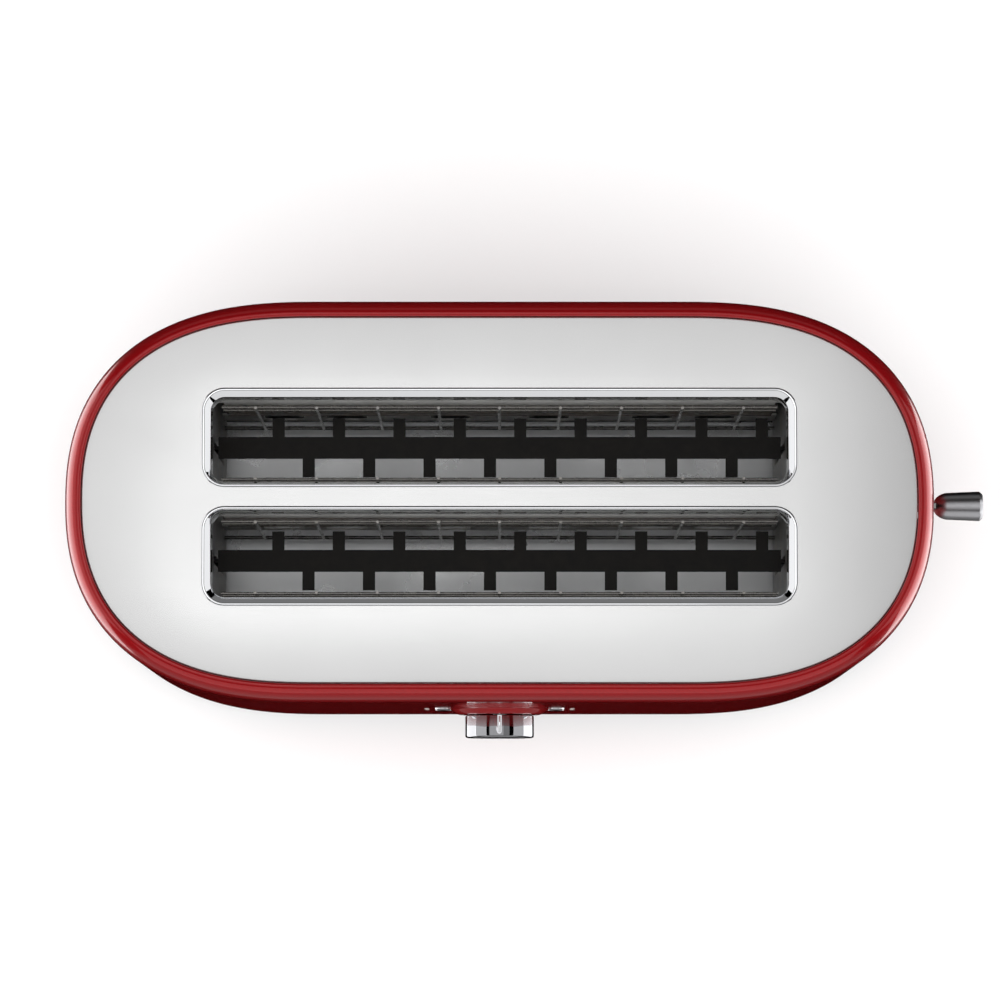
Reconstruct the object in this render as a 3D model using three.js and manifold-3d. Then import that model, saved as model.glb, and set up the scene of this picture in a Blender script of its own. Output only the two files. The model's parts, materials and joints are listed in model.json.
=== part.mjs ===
// A pop up toaster with two long slots, modelled as an assembly of separate pieces.
// Millimetres, +Z up. The lever is at the +X end and the control knob at the front, -Y.
// The origin is at the middle of the object's footprint, on the surface that the feet stand on.
import * as THREE from "three";
import { mergeVertices } from "three/addons/utils/BufferGeometryUtils.js";
import Module from "manifold-3d";

const wasm = await Module();
wasm.setup();

// ---- Driving dimensions, in millimetres ----

// Outer body
const bodyLength = 407;
const bodyDepth = 188;
const rimTopZ = 196.5;
const straightHalf = 84.5; // half of the flat stretch along each long side
const endPower = 2.6; // how square the rounded ends are, along X
const sidePower = 2.32; // and along Y
const cornerSteps = 10; // outline steps in each quarter
const shellWall = 2;
const shellBottomZ = 16;
const shoulderRise = 16.5;
const rimWidth = 8.2;
const rimRoll = 1.2;
const rimLipDepth = 5;

// Top plate and slot bezels
const plateDrop = 2;
const plateThickness = 1.2;
const plateGap = 0.6;
const plateSkirt = 5;
const slotLength = 269.6;
const slotWidth = 39.7;
const slotSpacing = 53.8;
const slotOffsetY = 1.4;
const slotCorner = 6.5;
const bevelWide = 4.3;
const bevelNarrow = 2.7;
const bevelDepth = 3;
const bezelRise = 1;
const bezelWall = 1.2;
const bezelLip = 17.5;
const bezelFlange = 1.2;
const bezelEdge = 0.6;

// Heating chamber
const sheetSteel = 1.2;
const chassisBottomZ = 30;
const chassisFlange = 27;
const chassisMargin = 6; // end plate beyond the outer reflector
const boardClear = 1.35; // heater board outside its slot's edge
const boardThickness = 0.8;
const boardBottomZ = 48;
const boardTopGap = 4;
const endNotch = 3.6;
const ventWidth = 19.5;
const ventHeight = 24;
const ventCorner = 4;
const ventSpots = [24, 74.5, 105];
const ventRise = 5;
const ribbonWidth = 1.6;
const ribbonThickness = 0.4;
const ribbonPitch = 9;
const reflectorGap = 5.5;
const tabHeight = 8;
const tabReach = 2.4;

// Bread guards
const guardInset = 2.85; // bread guard inside its slot's edge
const guardPivotZ = 50;
const guardWire = 1.8;
const pivotReach = 2.5;
const wirePitch = 28.7;
const wireHalfCount = 4;
const guardTopGap = 4;
const guardTopInset = 4;

// Carriage, with the lever at rest in its upper position
const rackDepth = 53.5; // shelf below the rim
const rackLowZ = 63;
const highLift = 14;
const rackStrip = 10.4;
const rackSheet = 1.2;
const rackWeb = 1.6;
const rackWebHeight = 10;
const fingerWidth = 5.8;
const fingerClear = 3; // rack fingers short of the bread guard
const fingerPhase = 9.8;
const slitWidth = 4;
const bracketGap = 4; // bracket from the end plate
const bracketSheet = 1.6;
const rodRadius = 3;
const rodOffsetX = 14; // guide rod from the end plate's inner face
const rodOffsetY = 14;
const sleeveWall = 2.6;
const sleeveUp = 12;
const sleeveDown = 16;
const runningGap = 0.4;
const springWire = 0.8;
const springTurns = 9;
const leverRise = 6; // lever above the shelf
const leverArmThickness = 2.4;
const leverArmHeight = 7;
const leverKnobLength = 23.7;
const leverKnobGap = 1.6;
const leverKnobRadius = 7;
const leverKnobNose = 6.2;
const leverSocketDepth = 12;

// Latch
const magnetRadius = 7;
const magnetHeight = 16;
const magnetOffsetY = -18;
const keeperSize = 12;
const keeperSheet = 1.5;
const latchGap = 0.6;

// Control panel
const knobZ = 90;
const knobRadius = 16.5;
const knobLength = 10.6;
const knobGap = 0.5;
const bossRadius = 21.6;
const bossHeight = 2.8;
const pointerWidth = 1.8;
const shaftRadius = 3;
const buttonRadius = 4;
const buttonProud = 0.9;
const buttonTravel = 0.8;
const buttonX = 27.2;
const buttonZ = 8;
const buttonFlange = 1.3;
const indicatorRadius = 1.3;
const indicatorX = 35;
const indicatorProud = 0.12;
const boardStandoff = 12;
const circuitBoard = 1.6;
const controlBoardX = 44;
const controlBoardZ = 24;
const postRadius = 3;

// Base, feet, crumb tray and cord gland
const baseBottomZ = 5;
const baseFloor = 3;
const baseInset = 0.8;
const baseWall = 2.4;
const baseRebateZ = 24;
const footRadius = 11;
const footX = 128;
const footTrayGap = 8; // from the tray's side to the middle of a foot
const chassisPost = 4.5; // radius of the posts under the chassis screws
const trayPostGap = 1.5;
const trayHeight = 6;
const traySheet = 0.8;
const trayRail = 0.7;
const trayOverrun = 8; // tray's far end past the slots' ends
const trayHandleDepth = 22;
const fit = 0.3; // clearance between pieces that touch
const glandX = 60;
const glandZ = 34;
const glandRadius = 6;
const glandFlange = 8.5;
const glandProud = 2;
const glandBore = 4.2;
const powerBoardY = -42;
const powerBoardLength = 34;
const powerBoardTopZ = 108;
const screwRadius = 1.6;

// ---- Sizes that follow from the ones above ----

const bodyHalfX = bodyLength / 2;
const bodyHalfY = bodyDepth / 2;
const plateTopZ = rimTopZ - plateDrop;
const plateBottomZ = plateTopZ - plateThickness;
const bezelTopZ = plateTopZ + bezelRise;
const slotHalfX = slotLength / 2;
const slotHalfY = slotWidth / 2;
const boardOffset = slotHalfY + boardClear;
const guardOffset = slotHalfY - guardInset;
const fingerReach = guardOffset - fingerClear;
const slotY = slotSpacing / 2;
const lipBottomZ = bezelTopZ - bevelDepth - bezelLip;
const endPlateTopZ = lipBottomZ - 0.5;
const reflectorY = slotY + boardOffset + reflectorGap;
const chassisHalfY = reflectorY + chassisMargin;
const chassisScrewY = chassisHalfY - 3.6;
const trayHalfWidth = chassisScrewY - chassisPost - trayPostGap;
const footY = trayHalfWidth + footTrayGap;
const boardTopZ = endPlateTopZ - boardTopGap;
const rackZ = rimTopZ - rackDepth;
const bracketX = slotHalfX + sheetSteel + bracketGap;
const rodX = slotHalfX + rodOffsetX;
const sleeveRadius = rodRadius + runningGap + sleeveWall;
const leverZ = rackZ + leverRise;
const flangeTopZ = chassisBottomZ + sheetSteel;
const panelY = -bodyHalfY; // outer face of the shell at the front
const trayBottomZ = baseBottomZ + baseFloor + trayRail + fit;
const trayTopZ = trayBottomZ + trayHeight;
const tabZs = [boardBottomZ + tabHeight, boardTopZ - tabHeight];

// ---- Solids ----

// A closed geometry as a solid, turned the right way out if its faces point in.
function solid(geometry) {
  const bare = geometry.index ? geometry.toNonIndexed() : geometry.clone();
  bare.deleteAttribute("normal");
  bare.deleteAttribute("uv");
  const merged = mergeVertices(bare, 1e-4);
  const vertProperties = merged.attributes.position.array;
  const triVerts = new Uint32Array(merged.index.array);
  const made = new wasm.Manifold(new wasm.Mesh({ numProp: 3, vertProperties, triVerts }));
  if (made.volume() >= 0) return made;
  return new wasm.Manifold(new wasm.Mesh({ numProp: 3, vertProperties, triVerts: triVerts.reverse() }));
}

function geometryOf(body) {
  const mesh = body.getMesh();
  const positions = new Float32Array(mesh.numVert * 3);
  for (let i = 0; i < mesh.numVert; i++) {
    positions.set(mesh.vertProperties.subarray(i * mesh.numProp, i * mesh.numProp + 3), i * 3);
  }
  const geometry = new THREE.BufferGeometry();
  geometry.setAttribute("position", new THREE.BufferAttribute(positions, 3));
  geometry.setIndex(new THREE.BufferAttribute(mesh.triVerts, 1));
  geometry.computeVertexNormals();
  return geometry;
}

const join = (first, ...rest) => rest.reduce((body, other) => body.add(other), first);
const cut = (first, ...rest) => rest.reduce((body, other) => body.subtract(other), first);

// A box between two values on each axis.
function block([x0, x1], [y0, y1], [z0, z1]) {
  const box = new THREE.BoxGeometry(x1 - x0, y1 - y0, z1 - z0);
  return solid(box.translate((x0 + x1) / 2, (y0 + y1) / 2, (z0 + z1) / 2));
}

// A body turned about X, Y or Z from a closed or axis-to-axis profile of [radius, height along the axis].
function turned(profile, axis, sides) {
  const lathe = new THREE.LatheGeometry(profile.map(([r, h]) => new THREE.Vector2(r, h)), sides);
  if (axis === "x") lathe.rotateZ(-Math.PI / 2);
  if (axis === "z") lathe.rotateX(Math.PI / 2);
  return solid(lathe);
}

const pin = (radius, from, to, axis, sides = 12) =>
  turned([[0, from], [radius, from], [radius, to], [0, to]], axis, sides);

// A flat outline raised from z0 to z1.
function prism(outline, z0, z1) {
  const shape = new THREE.Shape(outline);
  const raised = new THREE.ExtrudeGeometry(shape, { depth: z1 - z0, bevelEnabled: false });
  return solid(raised.translate(0, 0, z0));
}

// A closed ring whose section is the list of loops: each loop is an outline at its own height.
function ringLoft(loops) {
  const count = loops[0].outline.length;
  const positions = loops.flatMap(({ outline, z }) => outline.flatMap((p) => [p.x, p.y, z]));
  const index = [];
  loops.forEach((loop, i) => {
    const next = ((i + 1) % loops.length) * count;
    for (let j = 0; j < count; j++) {
      const a = i * count + j;
      const b = i * count + ((j + 1) % count);
      const c = next + j;
      const d = next + ((j + 1) % count);
      index.push(a, b, d, a, d, c);
    }
  });
  const geometry = new THREE.BufferGeometry();
  geometry.setAttribute("position", new THREE.Float32BufferAttribute(positions, 3));
  geometry.setIndex(index);
  return solid(geometry);
}

// The body's plan: flat sides joined by superelliptic ends, moved in by the inset along its normals.
function bodyOutline(inset) {
  const reach = bodyHalfX - straightHalf;
  const quarter = [];
  for (let i = 0; i <= cornerSteps; i++) {
    const t = (Math.PI / 2) * (i / cornerSteps);
    const u = Math.cos(t) ** (2 / endPower);
    const v = Math.sin(t) ** (2 / sidePower);
    const normal = new THREE.Vector2(
      (endPower / reach) * u ** (endPower - 1),
      (sidePower / bodyHalfY) * v ** (sidePower - 1),
    ).normalize();
    const point = new THREE.Vector2(straightHalf + reach * u, bodyHalfY * v);
    quarter.push(point.addScaledVector(normal, -inset));
  }
  const mirrored = (sx, sy, list) => list.map((p) => new THREE.Vector2(sx * p.x, sy * p.y));
  return [
    ...quarter,
    ...mirrored(-1, 1, [...quarter].reverse()),
    ...mirrored(-1, -1, quarter).slice(1),
    ...mirrored(1, -1, [...quarter].reverse()).slice(0, -1),
  ];
}

// A rectangle from -x to x and y0 to y1 with rounded corners.
function roundedRect(x, y0, y1, radius, steps = 5) {
  const corners = [
    [x - radius, y1 - radius, 0],
    [-x + radius, y1 - radius, 1],
    [-x + radius, y0 + radius, 2],
    [x - radius, y0 + radius, 3],
  ];
  return corners.flatMap(([cx, cy, turn]) =>
    Array.from({ length: steps + 1 }, (_, i) => {
      const angle = (turn + i / steps) * (Math.PI / 2);
      return new THREE.Vector2(cx + radius * Math.cos(angle), cy + radius * Math.sin(angle));
    }),
  );
}

// ---- Outer body ----

// The shell's wall in section, from the outside bottom over the shoulder and down the inside.
function shellSection() {
  const crest = rimWidth - rimRoll;
  const shoulderZ = rimTopZ - shoulderRise;
  const arc = [0, 22.5, 45, 67.5, 90].map(THREE.MathUtils.degToRad);
  const outer = arc.map((t) => [crest * (1 - Math.cos(t)), shoulderZ + shoulderRise * Math.sin(t)]);
  const roll = [45, 90].map(THREE.MathUtils.degToRad)
    .map((t) => [crest + rimRoll * Math.sin(t), rimTopZ - rimRoll * (1 - Math.cos(t))]);
  const innerRun = rimWidth - 2 * shellWall;
  const innerRise = shoulderRise - shellWall;
  const inner = [90, 45, 0].map(THREE.MathUtils.degToRad)
    .map((t) => [shellWall + innerRun * (1 - Math.cos(t)), shoulderZ + innerRise * Math.sin(t)]);
  return [
    [0, shellBottomZ], ...outer, ...roll,
    [rimWidth, rimTopZ - rimLipDepth],
    [rimWidth - shellWall, rimTopZ - rimLipDepth],
    ...inner,
    [shellWall, shellBottomZ],
  ];
}

const buttonSpots = [-1, 1].flatMap((sx) => [-1, 1].map((sz) => [sx, sz]));

function makeShell() {
  const wall = ringLoft(shellSection().map(([inset, z]) => ({ outline: bodyOutline(inset), z })));
  const front = panelY + shellWall / 2;
  const boss = turned([
    [0, front], [bossRadius, front], [bossRadius, panelY - 0.8],
    [bossRadius - 0.8, panelY - bossHeight + 0.6], [bossRadius - 2, panelY - bossHeight],
    [0, panelY - bossHeight],
  ], "y", 28).translate([0, 0, knobZ]);
  const inside = panelY + shellWall;
  const postSpots = [-1, 1].flatMap((sx) => [-1, 1].map((sz) => [sx, sz]));
  const posts = postSpots.map(([sx, sz]) =>
    pin(postRadius, front, inside + boardStandoff - fit, "y", 8)
      .translate([sx * (controlBoardX - 5), 0, knobZ + sz * (controlBoardZ - 5)]));
  const shaftHole = pin(shaftRadius + 1, panelY - bossHeight - 1, inside + 1, "y", 16)
    .translate([0, 0, knobZ]);
  const buttonHoles = buttonSpots.map(([sx, sz]) =>
    pin(buttonRadius + runningGap, panelY - 1, inside + 1, "y", 16)
      .translate([sx * buttonX, 0, knobZ + sz * buttonZ]));
  const indicatorHoles = buttonSpots.map(([sx, sz]) =>
    pin(indicatorRadius + fit, panelY - 1, inside + 1, "y", 8)
      .translate([sx * indicatorX, 0, knobZ + sz * buttonZ]));
  const glandHole = pin(glandRadius + fit, bodyHalfY - shellWall - 1, bodyHalfY + 1, "y", 16)
    .translate([glandX, 0, glandZ]);
  const leverHalf = leverArmHeight / 2 + 1.5;
  const slotHalf = leverArmThickness / 2 + 1.2;
  const travel = rackZ - rackLowZ;
  const leverSlot = block(
    [bodyHalfX - 12, bodyHalfX + 1],
    [-slotHalf, slotHalf],
    [leverZ - travel - leverHalf, leverZ + highLift + leverHalf],
  );
  return cut(join(wall, boss, ...posts), shaftHole, ...buttonHoles, ...indicatorHoles, glandHole, leverSlot);
}

// The bezel's outer edge: a wide bevel on the side away from the other slot and at both ends.
function bezelOutline(side, inset, radius) {
  const x = slotHalfX + bevelWide - inset;
  const far = slotHalfY + bevelWide - inset;
  const near = slotHalfY + bevelNarrow - inset;
  return side > 0 ? roundedRect(x, -near, far, radius) : roundedRect(x, -far, near, radius);
}

const slotOutline = (grow) =>
  roundedRect(slotHalfX + grow, -slotHalfY - grow, slotHalfY + grow, slotCorner + grow);

function makeTopPlate() {
  const edge = rimWidth + plateGap;
  const sheet = prism(bodyOutline(edge), plateBottomZ, plateTopZ);
  const skirtTop = plateBottomZ + plateThickness / 2;
  const skirt = ringLoft([
    { outline: bodyOutline(edge), z: plateTopZ - plateSkirt },
    { outline: bodyOutline(edge), z: skirtTop },
    { outline: bodyOutline(edge + plateThickness), z: skirtTop },
    { outline: bodyOutline(edge + plateThickness), z: plateTopZ - plateSkirt },
  ]);
  const openings = [-1, 1].map((side) =>
    prism(bezelOutline(side, bezelFlange, slotCorner + 2), plateBottomZ - 1, plateTopZ + 1)
      .translate([0, slotOffsetY + side * slotY, 0]));
  return cut(join(sheet, skirt), ...openings);
}

function makeBezel(side) {
  const flangeZ = plateTopZ + fit;
  const edgeZ = bezelTopZ - bevelDepth;
  const flangeIn = bezelFlange + fit;
  const outerRadius = slotCorner + bevelWide;
  return ringLoft([
    { outline: bezelOutline(side, 0, outerRadius), z: flangeZ },
    { outline: bezelOutline(side, 0, outerRadius), z: bezelTopZ - bezelEdge },
    { outline: bezelOutline(side, bezelEdge, outerRadius - bezelEdge), z: bezelTopZ },
    { outline: slotOutline(0), z: edgeZ },
    { outline: slotOutline(0), z: lipBottomZ },
    { outline: slotOutline(bezelWall), z: lipBottomZ },
    { outline: slotOutline(bezelWall), z: edgeZ - 0.8 },
    { outline: bezelOutline(side, flangeIn, slotCorner + 2), z: flangeZ },
  ]);
}

// ---- Base ----

const chassisScrewSpots = [-1, 1].flatMap((sx) =>
  [-1, 1].map((sy) => [sx * (slotHalfX + chassisFlange - 5), slotOffsetY + sy * chassisScrewY]));
const footSpots = [-1, 1].flatMap((sx) => [-1, 1].map((sy) => [sx * footX, sy * footY]));

function makeBasePan() {
  const floorTopZ = baseBottomZ + baseFloor;
  const inner = shellWall + fit;
  const floor = prism(bodyOutline(inner), baseBottomZ, floorTopZ);
  const wall = ringLoft([
    [inner, baseBottomZ], [baseInset, baseBottomZ + 1.5], [baseInset, shellBottomZ - fit],
    [inner, shellBottomZ - fit], [inner, baseRebateZ], [inner + baseWall, baseRebateZ],
    [inner + baseWall, floorTopZ - 1], [inner + baseWall, baseBottomZ],
  ].map(([inset, z]) => ({ outline: bodyOutline(inset), z })));
  const posts = chassisScrewSpots.map(([x, y]) =>
    pin(chassisPost, floorTopZ - 1, chassisBottomZ - fit, "z", 10).translate([x, y, 0]));
  const rails = [-1, 1].map((sy) => block(
    [-slotHalfX, slotHalfX],
    [slotOffsetY + sy * (trayHalfWidth - 6) - 2, slotOffsetY + sy * (trayHalfWidth - 6) + 2],
    [floorTopZ - 1, floorTopZ + trayRail],
  ));
  const boardX = slotHalfX + sheetSteel + 8;
  const boardSlots = [boardX + 2, boardX + powerBoardLength - 8].flatMap((x) =>
    [-1, 1].map((sy) => {
      const near = slotOffsetY + powerBoardY + sy * (circuitBoard / 2 + fit);
      return block([x, x + 6], [Math.min(near, near + sy * 2), Math.max(near, near + sy * 2)],
        [floorTopZ - 1, floorTopZ + 8]);
    }));
  const trayMouth = block(
    [-bodyHalfX - 1, -bodyHalfX + trayHandleDepth + 14],
    [slotOffsetY - trayHalfWidth - 1, slotOffsetY + trayHalfWidth + 1],
    [floorTopZ, shellBottomZ - fit],
  );
  const footHoles = footSpots.map(([x, y]) =>
    pin(4 + fit, baseBottomZ - 1, floorTopZ + 1, "z", 10).translate([x, y, 0]));
  const screwHoles = chassisScrewSpots.map(([x, y]) => join(
    pin(screwRadius + fit, baseBottomZ - 1, chassisBottomZ, "z", 8),
    pin(3.4, baseBottomZ - 1, baseBottomZ + 2.4, "z", 8),
  ).translate([x, y, 0]));
  const vents = [-1, 1].flatMap((sy) => [-2, -1, 0, 1, 2].map((i) =>
    block([i * 34 - 11, i * 34 + 11], [sy * 78 - 2, sy * 78 + 2], [baseBottomZ - 1, floorTopZ + 1])));
  return cut(join(floor, wall, ...posts, ...rails, ...boardSlots), trayMouth, ...footHoles,
    ...screwHoles, ...vents);
}

function makeFoot() {
  const top = baseBottomZ - fit;
  return turned([
    [0, 0], [footRadius - 1.2, 0], [footRadius, 1.4], [footRadius, top],
    [4, top], [4, baseBottomZ + baseFloor + 1.5], [0, baseBottomZ + baseFloor + 1.5],
  ], "z", 12);
}

function makeChassisScrew() {
  const head = baseBottomZ + 0.2;
  return turned([
    [0, head], [2.9, head], [2.9, head + 1.8], [screwRadius, head + 1.8],
    [screwRadius, chassisBottomZ + 5], [0, chassisBottomZ + 5],
  ], "z", 8);
}

// An open box of folded sheet, its long axis along X.
function makeCrumbTray() {
  const left = -bodyHalfX + trayHandleDepth;
  const right = slotHalfX + trayOverrun;
  const y = trayHalfWidth;
  const outer = block([left, right], [-y, y], [0, trayHeight]);
  const inner = block([left + traySheet, right - traySheet], [-y + traySheet, y - traySheet],
    [traySheet, trayHeight + 1]);
  return cut(outer, inner).translate([0, slotOffsetY, trayBottomZ]);
}

// The moulded end of the tray: it closes the mouth in the base and follows the base's outline.
function makeTrayHandle() {
  const z0 = trayBottomZ - fit;
  const z1 = trayTopZ - fit;
  const plan = prism(bodyOutline(baseInset), z0, z1);
  const width = trayHalfWidth + 0.6;
  const keep = block([-bodyHalfX - 1, -bodyHalfX + trayHandleDepth - fit],
    [slotOffsetY - width, slotOffsetY + width], [z0, z1]);
  const grip = block([-bodyHalfX - 1, -bodyHalfX + 4.5], [slotOffsetY - 24, slotOffsetY + 24],
    [z0 + 1.6, z1 - 1.6]);
  return cut(plan.intersect(keep), grip);
}

function makeGland() {
  const inside = bodyHalfY - shellWall;
  return turned([
    [glandBore, inside - 6], [glandRadius, inside - 6], [glandRadius, bodyHalfY + fit],
    [glandFlange, bodyHalfY + fit], [glandFlange - 1.4, bodyHalfY + glandProud],
    [glandBore, bodyHalfY + glandProud], [glandBore, inside - 6],
  ], "y", 20).translate([glandX, 0, glandZ]);
}

// ---- Controls: their own frame has its origin on the shell's front face, at the knob's axis ----

function makeControlKnob() {
  const back = -bossHeight - knobGap;
  const front = back - knobLength;
  const body = turned([
    [0, back], [knobRadius - 0.4, back], [knobRadius, back - 0.5], [knobRadius, front + 1],
    [knobRadius - 0.9, front + 0.15], [knobRadius - 2.4, front], [0, front],
  ], "y", 32);
  const shaftBore = pin(shaftRadius + fit, back - 7, back + 1, "y", 16);
  const groove = block([-pointerWidth / 2 - fit, pointerWidth / 2 + fit], [front + 2, back - 1.6],
    [knobRadius - 0.9, knobRadius + 1]);
  return cut(body, shaftBore, groove);
}

function makeKnobPointer() {
  const back = -bossHeight - knobGap;
  return block([-pointerWidth / 2, pointerWidth / 2], [back - knobLength + 2 + fit, back - 1.6 - fit],
    [knobRadius - 0.9 + fit, knobRadius + 0.15]);
}

function makeControlShaft() {
  return pin(shaftRadius, -bossHeight - knobGap - 6.5, shellWall + boardStandoff - 8 - fit, "y", 16);
}

function makePotentiometer() {
  const boardFace = shellWall + boardStandoff;
  return join(
    block([-8.5, 8.5], [boardFace - 8, boardFace - fit], [-8.5, 8.5]),
    block([-6, 6], [boardFace - fit - 1, boardFace - fit], [-13, -8]),
  );
}

function makeControlBoard() {
  const face = shellWall + boardStandoff;
  const board = block([-controlBoardX, controlBoardX], [face, face + circuitBoard],
    [-controlBoardZ, controlBoardZ]);
  const switchTop = shellWall + buttonFlange + fit + 4.4 + buttonTravel;
  const switches = buttonSpots.map(([sx, sz]) => block(
    [sx * buttonX - 3, sx * buttonX + 3], [switchTop, face + 0.5],
    [sz * buttonZ - 3, sz * buttonZ + 3]));
  return join(board, ...switches);
}

function makeButton() {
  const flangeFront = shellWall + fit;
  return turned([
    [0, -buttonProud], [buttonRadius - 0.7, -buttonProud], [buttonRadius, -buttonProud + 0.6],
    [buttonRadius, flangeFront], [buttonRadius + 1.4, flangeFront],
    [buttonRadius + 1.4, flangeFront + buttonFlange], [2, flangeFront + buttonFlange],
    [2, flangeFront + buttonFlange + 4.1], [0, flangeFront + buttonFlange + 4.1],
  ], "y", 12);
}

// Two lenses on one light bar behind the panel.
function makeIndicator() {
  const bar = shellWall + fit + 4;
  const lenses = [-1, 1].map((sz) =>
    pin(indicatorRadius, -indicatorProud, bar + 1, "y", 10).translate([0, 0, sz * buttonZ]));
  return join(block([-1, 1], [bar, bar + 2], [-buttonZ - 1, buttonZ + 1]), ...lenses);
}

// ---- Chassis: its own frame is midway between the slots ----

const sides = [-1, 1];

// The end plate has its web on the chamber side and flanges that point away from the chamber, along +X.
function makeEndPlate() {
  const web = block([0, sheetSteel], [-chassisHalfY, chassisHalfY], [chassisBottomZ, endPlateTopZ]);
  const topFlange = block([0, chassisFlange], [-slotY, slotY], [endPlateTopZ - sheetSteel, endPlateTopZ]);
  const bottomFlange = block([0, chassisFlange], [-chassisHalfY, chassisHalfY],
    [chassisBottomZ, chassisBottomZ + sheetSteel]);
  const rodHole = pin(rodRadius + fit, chassisBottomZ - 1, endPlateTopZ + 1, "z", 12)
    .translate([rodOffsetX, rodOffsetY, 0]);
  const slits = sides.map((s) => block([-1, sheetSteel + 1],
    [s * slotY - slitWidth / 2, s * slotY + slitWidth / 2],
    [rackLowZ - rackWebHeight - 2, rackZ + highLift + 2]));
  const panelYs = sides.flatMap((s) => [s * (slotY - boardOffset), s * (slotY + boardOffset), s * reflectorY]);
  const tabSlots = panelYs.flatMap((y) => tabZs.map((z) => block([-1, sheetSteel + 1],
    [y - boardThickness / 2 - fit, y + boardThickness / 2 + fit],
    [z - tabHeight / 2 - fit, z + tabHeight / 2 + fit])));
  const pivotSpots = sides.flatMap((s) => sides.map((t) => s * slotY + t * guardOffset));
  const pivotHoles = pivotSpots.map((y) =>
    pin(guardWire * 0.71 + fit, -1, sheetSteel + 1, "x", 8).translate([0, y, guardPivotZ]));
  const screwHoles = sides.map((s) =>
    pin(screwRadius + fit, chassisBottomZ - 1, chassisBottomZ + sheetSteel + 1, "z", 8)
      .translate([chassisFlange - 5, s * chassisScrewY, 0]));
  return cut(join(web, topFlange, bottomFlange), rodHole, ...slits, ...tabSlots, ...pivotHoles, ...screwHoles);
}

// A sheet on edge along X, held by two tabs through each end plate.
function tabbedSheet(z0, z1) {
  const y = [-boardThickness / 2, boardThickness / 2];
  const halfX = slotHalfX - fit;
  const tabs = tabZs.map((z) => block(
    [-slotHalfX - sheetSteel - tabReach, slotHalfX + sheetSteel + tabReach], y,
    [z - tabHeight / 2, z + tabHeight / 2]));
  return join(block([-halfX, halfX], y, [z0, z1]), ...tabs);
}

const windingBottomZ = boardBottomZ + ventRise + ventHeight + 8;
const windingTurns = Math.floor((boardTopZ - tabHeight * 1.5 - 4 - windingBottomZ) / ribbonPitch);

// Air vents run along the foot of the board, and its ends are cut back where the ribbon goes round.
function makeHeaterBoard() {
  const z0 = boardBottomZ + ventRise;
  const vents = ventSpots.flatMap((x) => sides.map((s) =>
    prism(roundedRect(ventWidth / 2, -ventHeight / 2, ventHeight / 2, ventCorner, 1), -1, 1)
      .rotate([90, 0, 0]).translate([s * x, 0, z0 + ventHeight / 2])));
  const notches = sides.map((s) => {
    const edge = s * (slotHalfX - fit);
    return block([Math.min(edge, edge - s * endNotch) - (s < 0 ? 1 : 0),
      Math.max(edge, edge - s * endNotch) + (s > 0 ? 1 : 0)], [-1, 1],
    [windingBottomZ - 3, windingBottomZ + windingTurns * ribbonPitch + 3]);
  });
  return cut(tabbedSheet(boardBottomZ, boardTopZ), ...vents, ...notches);
}

// One ribbon wound round the board: level on the bread side and rising a pitch on the back.
function makeWinding(facing) {
  const near = boardThickness / 2 + fit;
  const endX = slotHalfX - fit - endNotch + fit;
  const corners = [];
  for (let turn = 0; turn < windingTurns; turn++) {
    const z = windingBottomZ + turn * ribbonPitch;
    corners.push([-1, 1, z], [1, 1, z], [1, -1, z], [-1, -1, z + ribbonPitch]);
  }
  const positions = corners.flatMap(([sx, sy, z]) =>
    [0, ribbonThickness].flatMap((t) => [-1, 1].flatMap((half) =>
      [sx * (endX + t), facing * sy * (near + t), z + (half * ribbonWidth) / 2])));
  const index = [];
  const quad = (a, b, c, d) => index.push(a, b, c, a, c, d);
  for (let i = 0; i < corners.length - 1; i++) {
    const a = i * 4;
    const b = a + 4;
    quad(a, b, b + 1, a + 1);
    quad(a + 1, b + 1, b + 3, a + 3);
    quad(a + 3, b + 3, b + 2, a + 2);
    quad(a + 2, b + 2, b, a);
  }
  const last = (corners.length - 1) * 4;
  quad(0, 1, 3, 2);
  quad(last, last + 2, last + 3, last + 1);
  const geometry = new THREE.BufferGeometry();
  geometry.setAttribute("position", new THREE.Float32BufferAttribute(positions, 3));
  geometry.setIndex(index);
  return solid(geometry);
}

const makeReflector = () => tabbedSheet(chassisBottomZ + 4, endPlateTopZ - 2);

// A grid of wires, level with one another; its own frame has its origin on the pivot rail.
function makeGuard() {
  const half = guardWire / 2;
  const topZ = endPlateTopZ - guardTopGap - guardPivotZ;
  const topX = slotHalfX - guardTopInset;
  const pivotX = slotHalfX + sheetSteel + pivotReach;
  const lastWire = wireHalfCount * wirePitch + half;
  const outline = [
    [-pivotX, -half], [pivotX, -half], [pivotX, half], [lastWire, half], [lastWire, topZ - half],
    [topX, topZ - half], [topX, topZ + half], [-topX, topZ + half], [-topX, topZ - half],
    [-lastWire, topZ - half], [-lastWire, half], [-pivotX, half],
  ].map(([x, z]) => new THREE.Vector2(x, z));
  const windows = Array.from({ length: 2 * wireHalfCount }, (_, i) => {
    const x = (i - wireHalfCount) * wirePitch;
    return block([x + half, x + wirePitch - half], [-guardWire, guardWire], [half, topZ - half]);
  });
  return cut(prism(outline, -half, half).rotate([90, 0, 0]), ...windows);
}

// ---- Carriage: its own frame is on the shelf's top surface, midway between the slots ----

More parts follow.
